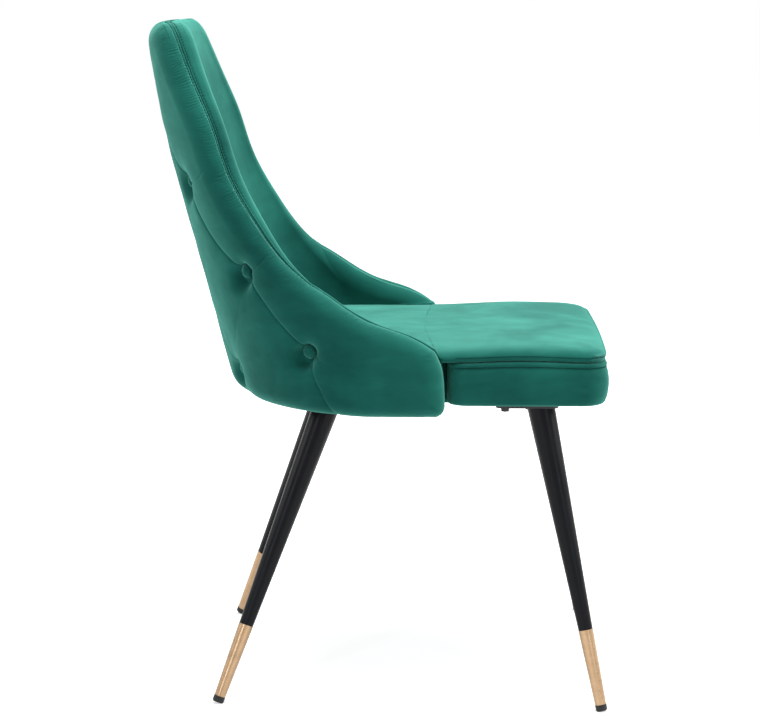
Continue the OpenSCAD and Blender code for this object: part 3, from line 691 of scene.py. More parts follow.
# in the pocket that each button has, a little to its rear and below it
POCKET_REAR, POCKET_BELOW, POCKET_R = 9.0, 8.0, 9.5
POCKET_DEPTH, POCKET_REACH, POCKET_POWER = 18.5, 9.0, 1.2
# along the folds, a soft valley and a fine line in the deeper ones; each is deeper near a button
VALLEY_DEPTH, VALLEY_NEAR, VALLEY_REACH, VALLEY_POWER = 2.4, 4.6, 13.0, 0.9
LINE_SHARE, LINE_DEPTH, LINE_NEAR, LINE_REACH, LINE_POWER = 0.4, 0.75, 0.8, 1.3, 1.3
LINE_FADE_DEPTH, LINE_FADE_POWER = 13.0, 4
# and along the pleats, a fine line with drawn cloth beside it
PLEAT_DEPTH, PLEAT_NEAR, PLEAT_REACH = 0.6, 0.9, 1.2
DRAWN_DEPTH, DRAWN_REACH = 1.8, 9.0
# all of them wander a little, and where two meet the deeper one wins softly
WANDER, WANDER_SIZE = 0.22, 35
POCKET_BLEND, VALLEY_BLEND = 4, 2.4

SEATS = np.array([skin(*lattice(*b), 0) for b in BUTTONS])
POCKETS = np.array([skin(q - np.sign(q) * POCKET_REAR / rate(q, z), z - POCKET_BELOW, 0)
                    for q, z in (lattice(*b) for b in BUTTONS)])
FOLD_POINTS, FOLD_SHARE = crease_lines(FOLDS)
PLEAT_POINTS, PLEAT_SHARE = crease_lines(PLEATS)


def joined_depth(a, b, power):
    """The deeper of two hollows, with a soft passage between them."""
    return (a**power + b**power) ** (1 / power)


def tufting(p):
    """How far the velvet sinks at each point of the outer face: button seats, pockets, folds and pleats."""
    to_seat, _ = nearest(p, SEATS)
    to_fold, fold = nearest(p, FOLD_POINTS)
    to_pleat, pleat = nearest(p, PLEAT_POINTS)
    near_seat = fade(to_seat, SEAT_NEAR)
    wander = 1 + WANDER * fine_noise(p, WANDER_SIZE, 3)
    off = np.maximum(0, to_seat - BUTTON_R - SEAT_MARGIN)
    dimple = STEEP_SHARE * fade(off, STEEP_REACH * wander)
    dimple += WIDE_SHARE * fade(off, WIDE_REACH * wander, WIDE_POWER)
    off = np.maximum(0, nearest(p, POCKETS)[0] - POCKET_R)
    pocket = POCKET_DEPTH * fade(off, POCKET_REACH, POCKET_POWER)
    dimple = joined_depth(TUFT_DEPTH * dimple, pocket, POCKET_BLEND)
    share = FOLD_SHARE[fold]
    valley = share * (VALLEY_DEPTH + VALLEY_NEAR * near_seat)
    valley *= fade(to_fold, VALLEY_REACH * wander, VALLEY_POWER)
    line = ease((share - LINE_SHARE) / LINE_SHARE) * (LINE_DEPTH + LINE_NEAR * near_seat)
    line *= fade(to_fold, LINE_REACH, LINE_POWER) * fade(dimple, LINE_FADE_DEPTH, LINE_FADE_POWER)
    drawn = DRAWN_DEPTH * near_seat * fade(to_pleat, DRAWN_REACH)
    drawn += (PLEAT_DEPTH + PLEAT_NEAR * near_seat) * fade(to_pleat, PLEAT_REACH, LINE_POWER)
    return joined_depth(dimple, valley, VALLEY_BLEND) + line + PLEAT_SHARE[pleat] * drawn


# a row of gathers: how much they vary, how they lean away from the seam, how sharp they are
GATHER_LEAST, GATHER_MEAN, GATHER_MOST, GATHER_PATCH = 0.1, 0.7, 1.4, 12
GATHER_WOBBLE, GATHER_LEAN, GATHER_SHARP = 1.6, 0.35, 1.4


def puckers(p, run, away, seed, size=3.9, depth=1.0, reach=5.0):
    """Small gathers that a row of stitches pulls into the cloth beside a seam."""
    wobble = unevenness(p, (3.4, 26, seed), (2.2, 8, seed + 1))
    strength = np.clip(GATHER_MEAN + fine_noise(p, GATHER_PATCH, seed + 2), GATHER_LEAST, GATHER_MOST)
    turn = 2 * math.pi * run / size + wobble * GATHER_WOBBLE + away * GATHER_LEAN
    return -depth * strength * (0.5 - 0.5 * np.cos(turn)) ** GATHER_SHARP * fade(away, reach)


def coords(me):
    """A mesh's points in millimetres."""
    flat = np.empty(len(me.vertices) * 3)
    me.vertices.foreach_get("co", flat)
    return flat.reshape(-1, 3) / MM


SWELL_FRAMES, STILL = 20, 1e-6
SWELL_TENSION, SWELL_COMPRESSION, SWELL_BENDING = 18, 12, 0.8


def simulated(ob, free, voxel, pressure):
    """An even coarse copy of a pad swells as cloth under pressure: its points, and how each one moved."""
    scene = bpy.context.scene
    proxy = bpy.data.objects.new("swell_copy", ob.data.copy())
    scene.collection.objects.link(proxy)
    even = proxy.modifiers.new("even", "REMESH")
    even.mode, even.voxel_size = "VOXEL", voxel * MM
    me = bpy.data.meshes.new_from_object(proxy.evaluated_get(bpy.context.evaluated_depsgraph_get()))
    proxy.modifiers.clear()
    proxy.data = me
    before = coords(me)
    held = proxy.vertex_groups.new(name="held")
    for i, j in enumerate(nearest(before, coords(ob.data))[1]):
        held.add([i], 1 - float(free[j]), "REPLACE")
    cloth = proxy.modifiers.new("cloth", "CLOTH")
    how = cloth.settings
    how.use_pressure, how.uniform_pressure_force, how.vertex_group_mass = True, pressure, "held"
    how.effector_weights.gravity = 0
    how.tension_stiffness, how.compression_stiffness = SWELL_TENSION, SWELL_COMPRESSION
    how.bending_stiffness = SWELL_BENDING
    cloth.point_cache.frame_start, cloth.point_cache.frame_end = 1, SWELL_FRAMES
    for number in range(1, SWELL_FRAMES + 1):
        scene.frame_set(number)
    shape = proxy.evaluated_get(bpy.context.evaluated_depsgraph_get())
    move = coords(shape.to_mesh()) - before
    shape.to_mesh_clear()
    scene.frame_set(1)
    bpy.data.objects.remove(proxy)
    bpy.data.meshes.remove(me)
    return before, move


def swollen(ob, free, cap, voxel=6.5, pressure=4.0, soft=0.5, near=6):
    """Lets a pad swell as cloth, where free is 1, by at most about cap millimetres.

    Each point moves as the near points of the coarse copy do, weighted by 1 / (distance + soft) squared.
    """
    fine = coords(ob.data)
    free = np.pad(free, (0, len(fine) - len(free)))
    before, move = simulated(ob, free, voxel, pressure)
    far = np.linalg.norm(move, axis=1)[:, None]
    move *= np.tanh(far / cap) * cap / np.maximum(far, STILL)
    tree = tree_of(before)
    for i in np.where(free > 0)[0]:
        found = tree.find_n(fine[i], near)
        w = np.array([1 / (f[2] + soft) ** 2 for f in found])
        fine[i] += free[i] * (w[:, None] * move[[f[1] for f in found]]).sum(0) / w.sum()
    ob.data.vertices.foreach_set("co", (fine * MM).ravel())
    ob.data.update()


# rings round each rim from its shown roll to its hidden side: inset, depth, stitch dent, gathers' share
OUTER_RIM = [(0.05, -22.0, 0, 0.4), (0.15, -23.0, 0.1, 0.6), (0.3, -23.8, 0.5, 0.8), (0.45, -24.5, 0.9, 0.9),
             (0.6, -25.1, 0.3, 1), (0.85, -25.9, 0, 1.1), (1.2, -26.5, 0, 0.9), (1.8, -27.0, 0, 0.4),
             (5.5, -27.5, 0, 0), (15.7, -27.8, 0, 0), (15.85, -23.75, 0, 0), (28, -23.7, 0, 0)]
INNER_RIM = [(0.0, -35.5, 0, 0.1), (0.05, -34.0, 0, 0.2), (0.15, -32.6, 0.1, 0.3), (0.3, -31.5, 0.5, 0.35),
             (0.45, -30.7, 0.9, 0.4), (0.6, -30.0, 0.3, 0.5), (0.9, -29.2, 0, 0.6), (1.3, -28.6, 0, 0.5),
             (2.0, -28.2, 0, 0.2), (7.0, -28.0, 0, 0), (15.0, -28.4, 0, 0), (15.3, -34.7, 0, 0),
             (28, -34.8, 0, 0)]
# gathers begin above the wing's foot; the inner pad swells past the seam along the wing, this far
GATHER_LOW, GATHER_RISE, GATHER_FACE_REACH = 470.0, 80.0, 2.5
WING_PROUD, PROUD_HIGH, PROUD_FALL, PROUD_LOW, PROUD_RISE = 2.6, 690.0, 160.0, 425.0, 40.0
PROUD_FACE_REACH, PROUD_RIM_REACH = 16.0, 9.0
HIDDEN_LINES, HIDDEN_SHARE, HIDDEN_INSET = 24, 0.985, 32.0


def hidden_side(lift, roll, depth, base, flip):
    """A coarse grid that closes a pad against the board: points, faces and its edge."""
    q, z = face_grid(lift, roll, 2, HIDDEN_LINES, HIDDEN_LINES)
    q = q[1:-1, 1:-1] * HIDDEN_SHARE
    z = np.clip(z[1:-1, 1:-1], SHELL_LOW + HIDDEN_INSET + lift, SHELL_TOP - HIDDEN_INSET)
    faces = [tuple(f) for f in grid_quads(*q.shape, base=base, flip=flip)]
    return skin(q.ravel(), z.ravel(), depth), faces, grid_edge(*q.shape, base=base)


def shell_pad(name, sign, lift, roll, drop, face_depth, rim, creases, face_shape, seed, face_gather, swell):
    """A pad of the back: its shown face, the roll at its edge, the seam fold and its hidden side.

    sign is 1 for the outer pad and -1 for the inner one. Also returns the edge as angles and heights,
    the places of the face's points on the skin, and how far each is from the edge.
    """
    coarser = 1
    q, z = face_grid(lift, roll, FACE_EDGE_LINES, FACE_ROWS // coarser, FACE_COLS // coarser)
    flat, faces, edge = refined(q, z, creases, roll)
    if sign < 0:
        faces = [f[::-1] for f in faces]
    at = skin(flat[:, 0], flat[:, 1], 0)
    lq, lz = flat[edge].T
    run, _ = round_run(at[edge])
    away, which = nearest(at, at[edge])
    part = np.clip((roll - away) / roll, 0, 1)
    h = face_shape(at, away, run[which], part) - drop * (1 - np.sqrt(np.maximum(0, 1 - part**2)))
    inward = inward3(lq, lz)
    tight = puckers(at[edge], run, np.zeros(len(edge)), seed) * ease((lz - GATHER_LOW) / GATHER_RISE)
    proud = swell * ease((PROUD_HIGH - lz) / PROUD_FALL) * ease((lz - PROUD_LOW) / PROUD_RISE)
    pull = tight[which] * fade(away, GATHER_FACE_REACH) * face_gather
    pull += proud[which] * fade(away, PROUD_FACE_REACH)
    points = [skin(flat[:, 0], flat[:, 1], face_depth + sign * h) - inward[which] * pull[:, None]]
    n, base, last = len(edge), len(flat), edge
    for inset, depth, dent, share in rim:
        pull = dent - tight * share - proud * max(0, 1 - inset / PROUD_RIM_REACH)
        points.append(rim_ring(lq, lz, inset, depth, lift) + inward * pull[:, None])
        ring = base + np.arange(n)
        faces += [tuple(f) for f in (loop_quads(ring, last) if sign > 0 else loop_quads(last, ring))]
        base, last = base + n, ring
    back, back_faces, back_edge = hidden_side(lift, roll, rim[-1][1], base, sign > 0)
    points = np.vstack([*points, back])
    ob = mesh_piece(name, points, faces + back_faces + zip_loops(points, last, back_edge))
    return ob, (lq, lz), at, away


SOFT_FROM_EDGE, SOFT_OUTER, SOFT_INNER = 30.0, ((0.6, 60, 1), (0.28, 24, 4)), ((0.8, 90, 8), (0.25, 30, 9))
# the outer face's fine gathers begin at this height; its wider ones lie low on the wings
FINE_LOW, FINE_RISE, FINE_LEAST = 500.0, 80.0, 0.1
WIDE_LOW, WIDE_RISE, WIDE_HIGH, WIDE_FALL = 420.0, 40.0, 600.0, 60.0


def outer_shape(p, away, run, part):
    """Relief of the outer face: tufts, soft lumps, gathers at the seam and wider ones low on the wings."""
    z = p[:, 2]
    fine = puckers(p, run, np.maximum(0, away - 3), seed=5, depth=1.2, reach=4.2)
    fine *= (FINE_LEAST + (1 - FINE_LEAST) * part) * ease((z - FINE_LOW) / FINE_RISE)
    wide = puckers(p, run, away, seed=15, size=9, depth=0.6, reach=14)
    wide *= ease((WIDE_HIGH - z) / WIDE_FALL) * ease((z - WIDE_LOW) / WIDE_RISE)
    return unevenness(p, *SOFT_OUTER) * ease(away / SOFT_FROM_EDGE) - tufting(p) + fine + wide


def inner_shape(p, away, run, part):
    """Relief of the inner face: soft lumps and faint wide gathers."""
    gathers = puckers(p, run, away + 9, seed=6, depth=0.5, reach=12)
    return unevenness(p, *SOFT_INNER) * ease(away / SOFT_FROM_EDGE) + gathers


# the rim of a pad, its button seats and its folds are held while the rest swells
HELD_RIM, FREE_OVER, INNER_FREE_OVER, HELD_SEAT, SEAT_FREE_OVER = 8.0, 30.0, 40.0, 14.0, 16.0
FOLD_HELD, FOLD_HELD_REACH = 0.85, 7.0
FAR_OFF = [0, 900, 0]

outer_pad, outer_edge, at, away = shell_pad(
    "back_outer_velvet", sign=1, lift=0, roll=RIM_ROLL, drop=21.2, face_depth=0.0, rim=OUTER_RIM,
    creases=np.vstack([SEATS, FOLD_POINTS, PLEAT_POINTS]), face_shape=outer_shape, seed=5, face_gather=0.35,
    swell=0.0)
free = ease((away - HELD_RIM) / FREE_OVER) * ease((nearest(at, SEATS)[0] - HELD_SEAT) / SEAT_FREE_OVER)
free *= 1 - FOLD_HELD * fade(nearest(at, FOLD_POINTS)[0], FOLD_HELD_REACH)
swollen(outer_pad, free, cap=4.5, soft=2, near=10)
fit(outer_pad, OUTER, "velvet_outer", "back_outer_pad")

# the inner pad has no creases to make finer, so its list is one point far off
inner_pad, inner_edge, at, away = shell_pad(
    "back_inner_velvet", sign=-1, lift=PAD_LIFT, roll=22.0, drop=16.5, face_depth=-SHELL_THICK, rim=INNER_RIM,
    creases=SEATS[:1] + FAR_OFF, face_shape=inner_shape, seed=9, face_gather=0.12, swell=WING_PROUD)
swollen(inner_pad, ease((away - HELD_RIM) / INNER_FREE_OVER), cap=2.5, soft=25, near=60)
fit(inner_pad, INNER, "velvet_inner", "back_inner_pad")


# ---------------------------------------------------------------------------
# stitches, buttons
# ---------------------------------------------------------------------------
STITCH_PITCH, STITCH_LENGTH, STITCH_WIDTH, STITCH_PROUD = 4.3, 2.9, 0.55, 0.35
# along a stitch: share of its length from its middle, how full it is there
STITCH_SHAPE = [(-0.5, 0.0), (-0.38, 0.8), (0.0, 1.0), (0.38, 0.8), (0.5, 0.0)]
STITCH_SIDES, STITCH_FLAT, STITCH_END, STITCH_SUNK, STITCH_FOOT = 6, 0.8, 0.15, 0.15, 0.3


def stitch_row(path, out):
    """Thread stitches laid end to end along a line; out is the surface's direction at each point."""
    both = dense(np.hstack([path, out]), STITCH_PITCH)
    p, o = both[:, :3], unit(both[:, 3:])
    t = unit(np.gradient(p, axis=0))
    side = np.cross(o, t)
    angles = np.linspace(0, 2 * math.pi, STITCH_SIDES + 1)[:-1]
    verts, faces = [], []
    for i in range(len(p)):
        base = len(verts)
        for along, full in STITCH_SHAPE:
            lift = STITCH_PROUD * (STITCH_FOOT + (1 - STITCH_FOOT) * full) - STITCH_SUNK
            middle = p[i] + t[i] * along * STITCH_LENGTH + o[i] * lift
            r = STITCH_WIDTH * max(full, STITCH_END)
            verts += [middle + (side[i] * math.cos(a) + o[i] * math.sin(a) * STITCH_FLAT) * r
                      for a in angles]
        rings = [base + k * STITCH_SIDES + np.arange(STITCH_SIDES) for k in range(len(STITCH_SHAPE))]
        for one, two in zip(rings, rings[1:]):
            faces += [tuple(f) for f in loop_quads(one, two)]
        faces += [tuple(rings[0][::-1]), tuple(rings[-1])]
    return verts, faces


def stitch_piece(name, rows):
    """Rows of stitches as one piece."""
    verts, faces = [], []
    for row_verts, row_faces in rows:
        faces += [tuple(i + len(verts) for i in face) for face in row_faces]
        verts += row_verts
    return mesh_piece(name, verts, faces)


RIM_PATH_LOW = 12.0


def rim_path(edge, inset, depth):
    """A line along a pad's rim, from one wing's foot over the top to the other's, and its way outward."""
    lq, lz = edge
    keep = lz > SHELL_LOW + RIM_PATH_LOW
    start = int(np.argmax(keep & ~np.roll(keep, 1)))
    order = [i for i in np.roll(np.arange(len(lq)), -start) if keep[i]]
    return inset_skin(lq, lz, inset, depth)[order], -inward3(lq, lz)[order]


# the rows lie in the dents of OUTER_RIM and INNER_RIM, one on each side of the seam
STITCH_INSET, OUTER_STITCH_DEPTH, INNER_STITCH_DEPTH = 1.1, -24.5, -30.7
seam_stitches = stitch_piece("back_seam_topstitch",
                             [stitch_row(*rim_path(outer_edge, STITCH_INSET, OUTER_STITCH_DEPTH)),
                              stitch_row(*rim_path(inner_edge, STITCH_INSET, INNER_STITCH_DEPTH))])
fit(seam_stitches, THREAD, "velvet_outer")

# a covered button's cap: share of its radius, height over its seat
CAP_R, CAP_TILT, CAP_SIDES = BUTTON_R * 1.1, 0.3, 48
CAP_SHAPE = [(0.0, 7.9), (0.16, 7.85), (0.34, 7.6), (0.52, 7.1), (0.68, 6.3), (0.82, 5.2), (0.92, 4.0),
             (0.985, 2.8), (1.0, 1.9), (0.97, 1.0), (0.9, 0.4), (0.82, 0.15)]
# its cloth is gathered toward the foot and a little lumpy: how many gathers, how deep, from which share out
CAP_GATHERS, CAP_GATHER, CAP_GATHER_FROM, CAP_LUMP, CAP_LUMP_TURN = 11, 0.018, 0.6, 0.18, 1.7


def button_axes(k, row):
    """Middle of a button's seat, the way the button faces and its two side directions."""
    q, z = lattice(k, row)
    n = normal(q, z)
    middle = skin(q, z, -TUFT_DEPTH) + n * GAP
    n = unit(n + CAP_TILT * ([0, 1, 0] - n * n[1]))
    e = unit(np.cross([0, 0, 1.0], n))
    return middle, n, e, np.cross(n, e)


def button_piece():
    """Covered buttons, tilted a little to the rear: a domed cap with the velvet gathered at its foot."""
    verts, faces = [], []
    for number, (k, row) in enumerate(BUTTONS):
        middle, n, e, u = button_axes(k, row)
        base = len(verts)
        verts.append(middle + n * CAP_SHAPE[0][1])
        for share, high in CAP_SHAPE[1:]:
            depth = CAP_GATHER * max(0, share - CAP_GATHER_FROM) / (1 - CAP_GATHER_FROM)
            for j in range(CAP_SIDES):
                a = 2 * math.pi * j / CAP_SIDES
                r = CAP_R * share * (1 + depth * math.sin(a * CAP_GATHERS + number))
                lump = CAP_LUMP * math.sin(2 * a + number * CAP_LUMP_TURN) * share
                verts.append(middle + (e * math.cos(a) + u * math.sin(a)) * r + n * (high + lump))
        rings = [base + 1 + m * CAP_SIDES + np.arange(CAP_SIDES) for m in range(len(CAP_SHAPE) - 1)]
        faces += [(base, a, b) for a, b in zip(rings[0], np.roll(rings[0], -1))]
        for high, low in zip(rings, rings[1:]):
            faces += zip(high, low, np.roll(low, -1), np.roll(high, -1))
        faces.append(tuple(rings[-1][::-1]))
    return mesh_piece("back_velvet_buttons", verts, faces)


buttons = button_piece()
fit(buttons, BUTTON, "velvet_button", "back_buttons")

# ---------------------------------------------------------------------------
# the seat
# ---------------------------------------------------------------------------
SEAM_Z, CROWN, SEAT_HALF, SEAT_FRONT, BAND_BULGE = 450.0, 18.0, 213.0, 294.0, 5.0
SHOULDER_Y, SHOULDER_R, FRONT_CORNER, SHELL_GAP = -98.0, 8.0, 30.0, 1.5
SEAT_MID = np.array([0.0, -70.0])
SEAT_POINTS, CORNER_INSET = 360, 20
SIDE_STEPS, CORNER_STEPS, BEND_STEPS, REAR_STEPS = 20, 16, 8, 60
# the seam is drawn up along each side: how far, where along the side, and how near the seam
DRAWN_UP, DRAWN_Y, DRAWN_LONG, DRAWN_HIGH = 3.2, -190.0, 62.0, 17.0
DRAWN_SIDE, DRAWN_SIDE_RISE = 140.0, 50.0
# a depth about half way between the shell's two faces
WING_MIDDLE = -25.0
# the cloth is pulled in at the two front corners
CORNER_AT, CORNER_BASE, CORNER_PULL = [205, 286], 0.7, 3.5


def seat_outline(z, f, s, shoulder=SHOULDER_Y, bend=SHOULDER_R):
    """The seat's outline at height z, evenly spaced; f insets the front, s the part between the wings."""
    w, y, r = SEAT_HALF - f, -SEAT_FRONT + f, FRONT_CORNER - min(f, CORNER_INSET)
    sh = shoulder - max(f, 0)
    d = float(deep(z))
    qs = 90 + (float(rear(z)) - d - sh) / (d * RAD)
    pts = [(x, y) for x in np.linspace(0, w - r, SIDE_STEPS)]
    pts += [(w - r + r * math.cos(a * RAD), y + r + r * math.sin(a * RAD))
            for a in np.linspace(-90, 0, CORNER_STEPS)[1:]]
    pts += [(w, t) for t in np.linspace(y + r, sh - bend, SIDE_STEPS)[1:]]
    pts += [(w - bend + bend * math.cos(a * RAD), sh - bend + bend * math.sin(a * RAD))
            for a in np.linspace(0, 90, BEND_STEPS)[1:]]
    q = np.linspace(qs, 0, REAR_STEPS)
    x, yy = plan(q, z)
    n = normal(q, np.full_like(q, z))[:, :2]
    level = np.linalg.norm(n, axis=1)[:, None]
    pts += list(np.stack([x, yy], 1) - n / level**2 * (SHELL_THICK + SHELL_GAP + s))
    right = spaced(dense(pts, 1.0), SEAT_POINTS // 2 + 1)
    return np.vstack([right, (right * [-1, 1])[-2:0:-1]])


def seat_ring(z, f, s, k=1.0, at=None, **shoulder):
    """One ring of the seat; the seam is drawn up a little half way along each side."""
    o = SEAT_MID + (seat_outline(z, f, s, **shoulder) - SEAT_MID) * k
    at = z if at is None else at
    drawn = DRAWN_UP * fade(np.abs(o[:, 1] - DRAWN_Y), DRAWN_LONG, 2)
    drawn *= ease((np.abs(o[:, 0]) - DRAWN_SIDE) / DRAWN_SIDE_RISE) * fade(abs(at - SEAM_Z), DRAWN_HIGH, 2)
    return np.hstack([o, (at + drawn)[:, None]])


def seat_gathers(ring, away, seed, corner_reach):
    """Gathers beside the seat's seam, deeper where the front corners pull."""
    pull = fade(np.linalg.norm(np.abs(ring[:, :2]) - CORNER_AT, axis=1), corner_reach)
    gathers = puckers(ring, length_along(ring), away, seed, size=6.0, depth=0.5, reach=8)
    return gathers * (CORNER_BASE + CORNER_PULL * pull)


def wing_front(z):
    """How far forward the tip of a wing reaches at height z."""
    z = np.array([float(z)])
    return min(skin(edge_q(z), z, h)[0, 1] for h in (0, WING_MIDDLE, -SHELL_THICK))


def loft(name, rings, low_tip=None, high_tip=None):
    """A piece through closed rings of the same count, closed to a point at either end if one is given."""
    n = len(rings[0])
    pts = [p for r in rings for p in r]
    loops = [k * n + np.arange(n) for k in range(len(rings))]
    faces = [tuple(f) for one, two in zip(loops, loops[1:]) for f in loop_quads(one, two)]
    if low_tip is not None:
        pts.append(low_tip)
        faces += [(b, a, len(pts) - 1) for a, b in zip(loops[0], np.roll(loops[0], -1))]
    if high_tip is not None:
        pts.append(high_tip)
        faces += [(a, b, len(pts) - 1) for a, b in zip(loops[-1], np.roll(loops[-1], -1))]
    return mesh_piece(name, pts, faces)


# the band's face from its foot to the seam: share of its height, share of the bulge
BAND_SHAPE = [(0, -1.9), (0.01, -1.0), (0.03, -0.4), (0.06, 0), (0.1, 0.2), (0.16, 0.45), (0.24, 0.7),
              (0.34, 0.88), (0.46, 1), (0.58, 0.98), (0.68, 0.88), (0.76, 0.72), (0.82, 0.52), (0.855, 0.34),
              (0.875, 0.22), (0.89, 0.2), (0.905, 0.3), (0.925, 0.42), (0.95, 0.42), (0.97, 0.3),
              (0.985, 0.05), (1, -0.45)]
BAND_UNDER, BAND_TOP, BAND_THICK, BAND_WELD = 1.0, 3.3, 13.4, 1e-5
BAND_SHOULDER, BAND_BEND = -92.5, 20.0
# its unevenness begins in front of the wings: height, size and seed, then where
BAND_LUMPS = (0.6, 45, 12)
WING_CLEAR, WING_CLEAR_OVER = 92.0, 20.0


def seat_band():
    """Side band: its face bulges, tucks in under the seam and turns under the board."""
    low, tall = BOARD_Z - BAND_UNDER, SEAM_Z - BAND_TOP - BOARD_Z + BAND_UNDER
    rings = []
    for h, bulge in BAND_SHAPE:
        r = seat_ring(low + tall * h, -BAND_BULGE * bulge, 1 if bulge < 0 else 0,
                      shoulder=BAND_SHOULDER, bend=BAND_BEND)
        from_seam = np.full(len(r), (1 - h) * tall + 1)
        move = seat_gathers(r, from_seam, seed=11, corner_reach=26) + unevenness(r, BAND_LUMPS)
        front = ease((-r[:, 1] - WING_CLEAR) / WING_CLEAR_OVER)
        r[:, :2] += unit(r[:, :2] - SEAT_MID) * (move * front)[:, None]
        rings.append(r)
    rings += [seat_ring(low + tall * h, BAND_THICK, BAND_THICK) for h in (1, 0.5, 0)]
    ob = loft("seat_band_velvet", rings + [rings[0]])
    outward(ob, weld=BAND_WELD)
    return ob


seat_side = seat_band()
fit(seat_side, SEAT, "velvet_seat", "seat_boxing")

# under the top panel's edge: height over its foot, inset of the front, inset between the wings
TOP_FOOT = [(0, 14, 14), (0, 4, 3), (0.5, 2.0, 1.0), (1.4, 0.8, 0.3)]
# its crown from the seam to the middle: scale of the outline, share of the crown's height
DOME = [(1, 0.0), (1.001, 0.08), (1.0, 0.17), (0.997, 0.27), (0.991, 0.38), (0.98, 0.5), (0.965, 0.62),
        (0.945, 0.72), (0.915, 0.81), (0.88, 0.87), (0.83, 0.915), (0.77, 0.945), (0.7, 0.965), (0.62, 0.98),
        (0.53, 0.98), (0.43, 0.99), (0.33, 1), (0.22, 1), (0.11, 1)]
DOME_EDGE, FLAT_FROM = 0.99, 4
# millimetres over the panel from its seam to its middle, and up its pillow edge
PANEL_HALF, CROWN_RUN = 220.0, 12.0
# its soft lumps, longer from front to back, and its smaller dents
PANEL_LUMPS, PANEL_LONG, PANEL_DENTS = (0.9, 70, 22), [1, 0.6, 1], (0.3, 28, 23)
TOP_UNDER = 3.0
# the crown falls a little toward the back
FALL, FALL_Y, FALL_OVER = 0.2, -190.0, 130.0
# between the wings the panel keeps its height right up to them, and follows their tips as it rises
BETWEEN_Y, BETWEEN_OVER, TIP_GAP, TIP_BEND, TIP_LEVELS = -125.0, 30.0, 0.7, 2.5, 10
TIP_BEFORE, TIP_OVER, TIP_BACK_Y, TIP_BACK_OVER = 8.0, 6.0, -40.0, 30.0
# over the seam the front edge bows forward in its middle
FRONT_BOW, BOW_Y, BOW_OVER, BOW_HIGH = 4.5, -220.0, 60.0, 9.0
# a faint wavy fold runs across the back of the panel
FOLD_Y, FOLD_SLANT, FOLD_WAVE, FOLD_WAVE_LONG = -26.0, 0.12, 6.0, 40.0
FOLD_DEPTH, FOLD_REACH, FOLD_X, FOLD_HALF, FOLD_OVER = 0.5, 3.5, 95.0, 150.0, 60.0
# the rim and the part between the wings are held while the rest swells
TOP_HELD, TOP_FREE_OVER, TOP_HELD_Y, TOP_HELD_OVER = 0.97, 0.16, -80.0, 60.0


def fall_back(y):
    """Share of the crown that is lost toward the back."""
    return FALL * ease((y - FALL_Y) / FALL_OVER)


def crown_share(r, k, crown, level):
    """Share of the crown's height along a ring, more where the panel is level between the wings."""
    shares, crowns = np.array(DOME)[FLAT_FROM:].T
    wanted = np.maximum(np.interp(1 - level, 1 - shares, crowns), crown)
    on_edge = (k > DOME_EDGE) & (np.abs(r[:, 0]) > SEAT_HALF * DOME_EDGE * k)
    return np.where(on_edge, crown, wanted)


def top_ring(k, crown, levels, fronts, back):
    """One ring of the top panel, from its scale and its share of the crown."""
    r = seat_ring(SEAM_Z, 0, 1.0, k, SEAM_Z, **back)
    between = ease((r[:, 1] - BETWEEN_Y) / BETWEEN_OVER)
    level = k + (np.abs(r[:, 0]) / SEAT_HALF - k) * between
    c = crown_share(r, k, crown, level)
    drawn = (r[:, 2] - SEAM_Z) * fade(CROWN * c, DRAWN_HIGH, 2)
    r[:, 2] = SEAM_Z + drawn + CROWN * c * (1 - fall_back(r[:, 1]))
    at_tips = ease((r[:, 1] - fronts[0] + TIP_BEFORE) / TIP_OVER)
    at_tips *= ease((TIP_BACK_Y - r[:, 1]) / TIP_BACK_OVER)
    r[:, 1] += (np.interp(r[:, 2], levels, fronts) - fronts[0]) * at_tips
    bow = FRONT_BOW * (1 - (r[:, 0] / SEAT_HALF) ** 2)
    r[:, 1] -= bow * ease((BOW_Y - r[:, 1]) / BOW_OVER) * ease((r[:, 2] - SEAM_Z) / BOW_HIGH)
    away = (1 - level) * PANEL_HALF + c * CROWN_RUN + 2
    r[:, 2] += seat_gathers(r, away, seed=21, corner_reach=28) * (1 - between)
    r[:, 2] += (unevenness(r * PANEL_LONG, PANEL_LUMPS) + unevenness(r, PANEL_DENTS)) * (1 - level**6)
    to_fold = np.abs(r[:, 1] - FOLD_Y + FOLD_SLANT * r[:, 0] + FOLD_WAVE * np.sin(r[:, 0] / FOLD_WAVE_LONG))
    ends = ease((FOLD_HALF - np.abs(np.abs(r[:, 0]) - FOLD_X)) / FOLD_OVER)
    r[:, 2] -= FOLD_DEPTH * fade(to_fold, FOLD_REACH) * ends * (1 - level**4)
    return r


def seat_top():
    """Top panel: a pillow edge over the seam, a low crown and the hollow under it filled."""
    foot = SEAM_Z - TOP_UNDER + GAP
    levels = np.linspace(SEAM_Z, SEAM_Z + CROWN, TIP_LEVELS)
    fronts = np.array([wing_front(z) for z in levels])
    back = dict(shoulder=fronts[0] - TIP_GAP, bend=TIP_BEND)
    rings = [seat_ring(foot + up, f, s, **back) for up, f, s in TOP_FOOT]
    rings += [top_ring(k, crown, levels, fronts, back) for k, crown in DOME]
    x, y = SEAT_MID
    ob = loft("seat_top_velvet", rings, [x, y, foot], [x, y, SEAM_Z + CROWN * (1 - fall_back(y))])
    free = [np.zeros(len(rings[0]) * len(TOP_FOOT))]
    free += [np.full(len(rings[0]), ease((TOP_HELD - k) / TOP_FREE_OVER)) for k, _ in DOME]
    free = np.concatenate([*free, [0, 1]])
    free *= ease((TOP_HELD_Y - coords(ob.data)[:, 1]) / TOP_HELD_OVER)
    swollen(ob, free, cap=3.0, voxel=7.0, pressure=3.0)
    return ob


seat_cushion = seat_top()
fit(seat_cushion, SEAT, "velvet_seat", "seat_top_panel", "seat_foam")


PATH_CLEAR = 4.0


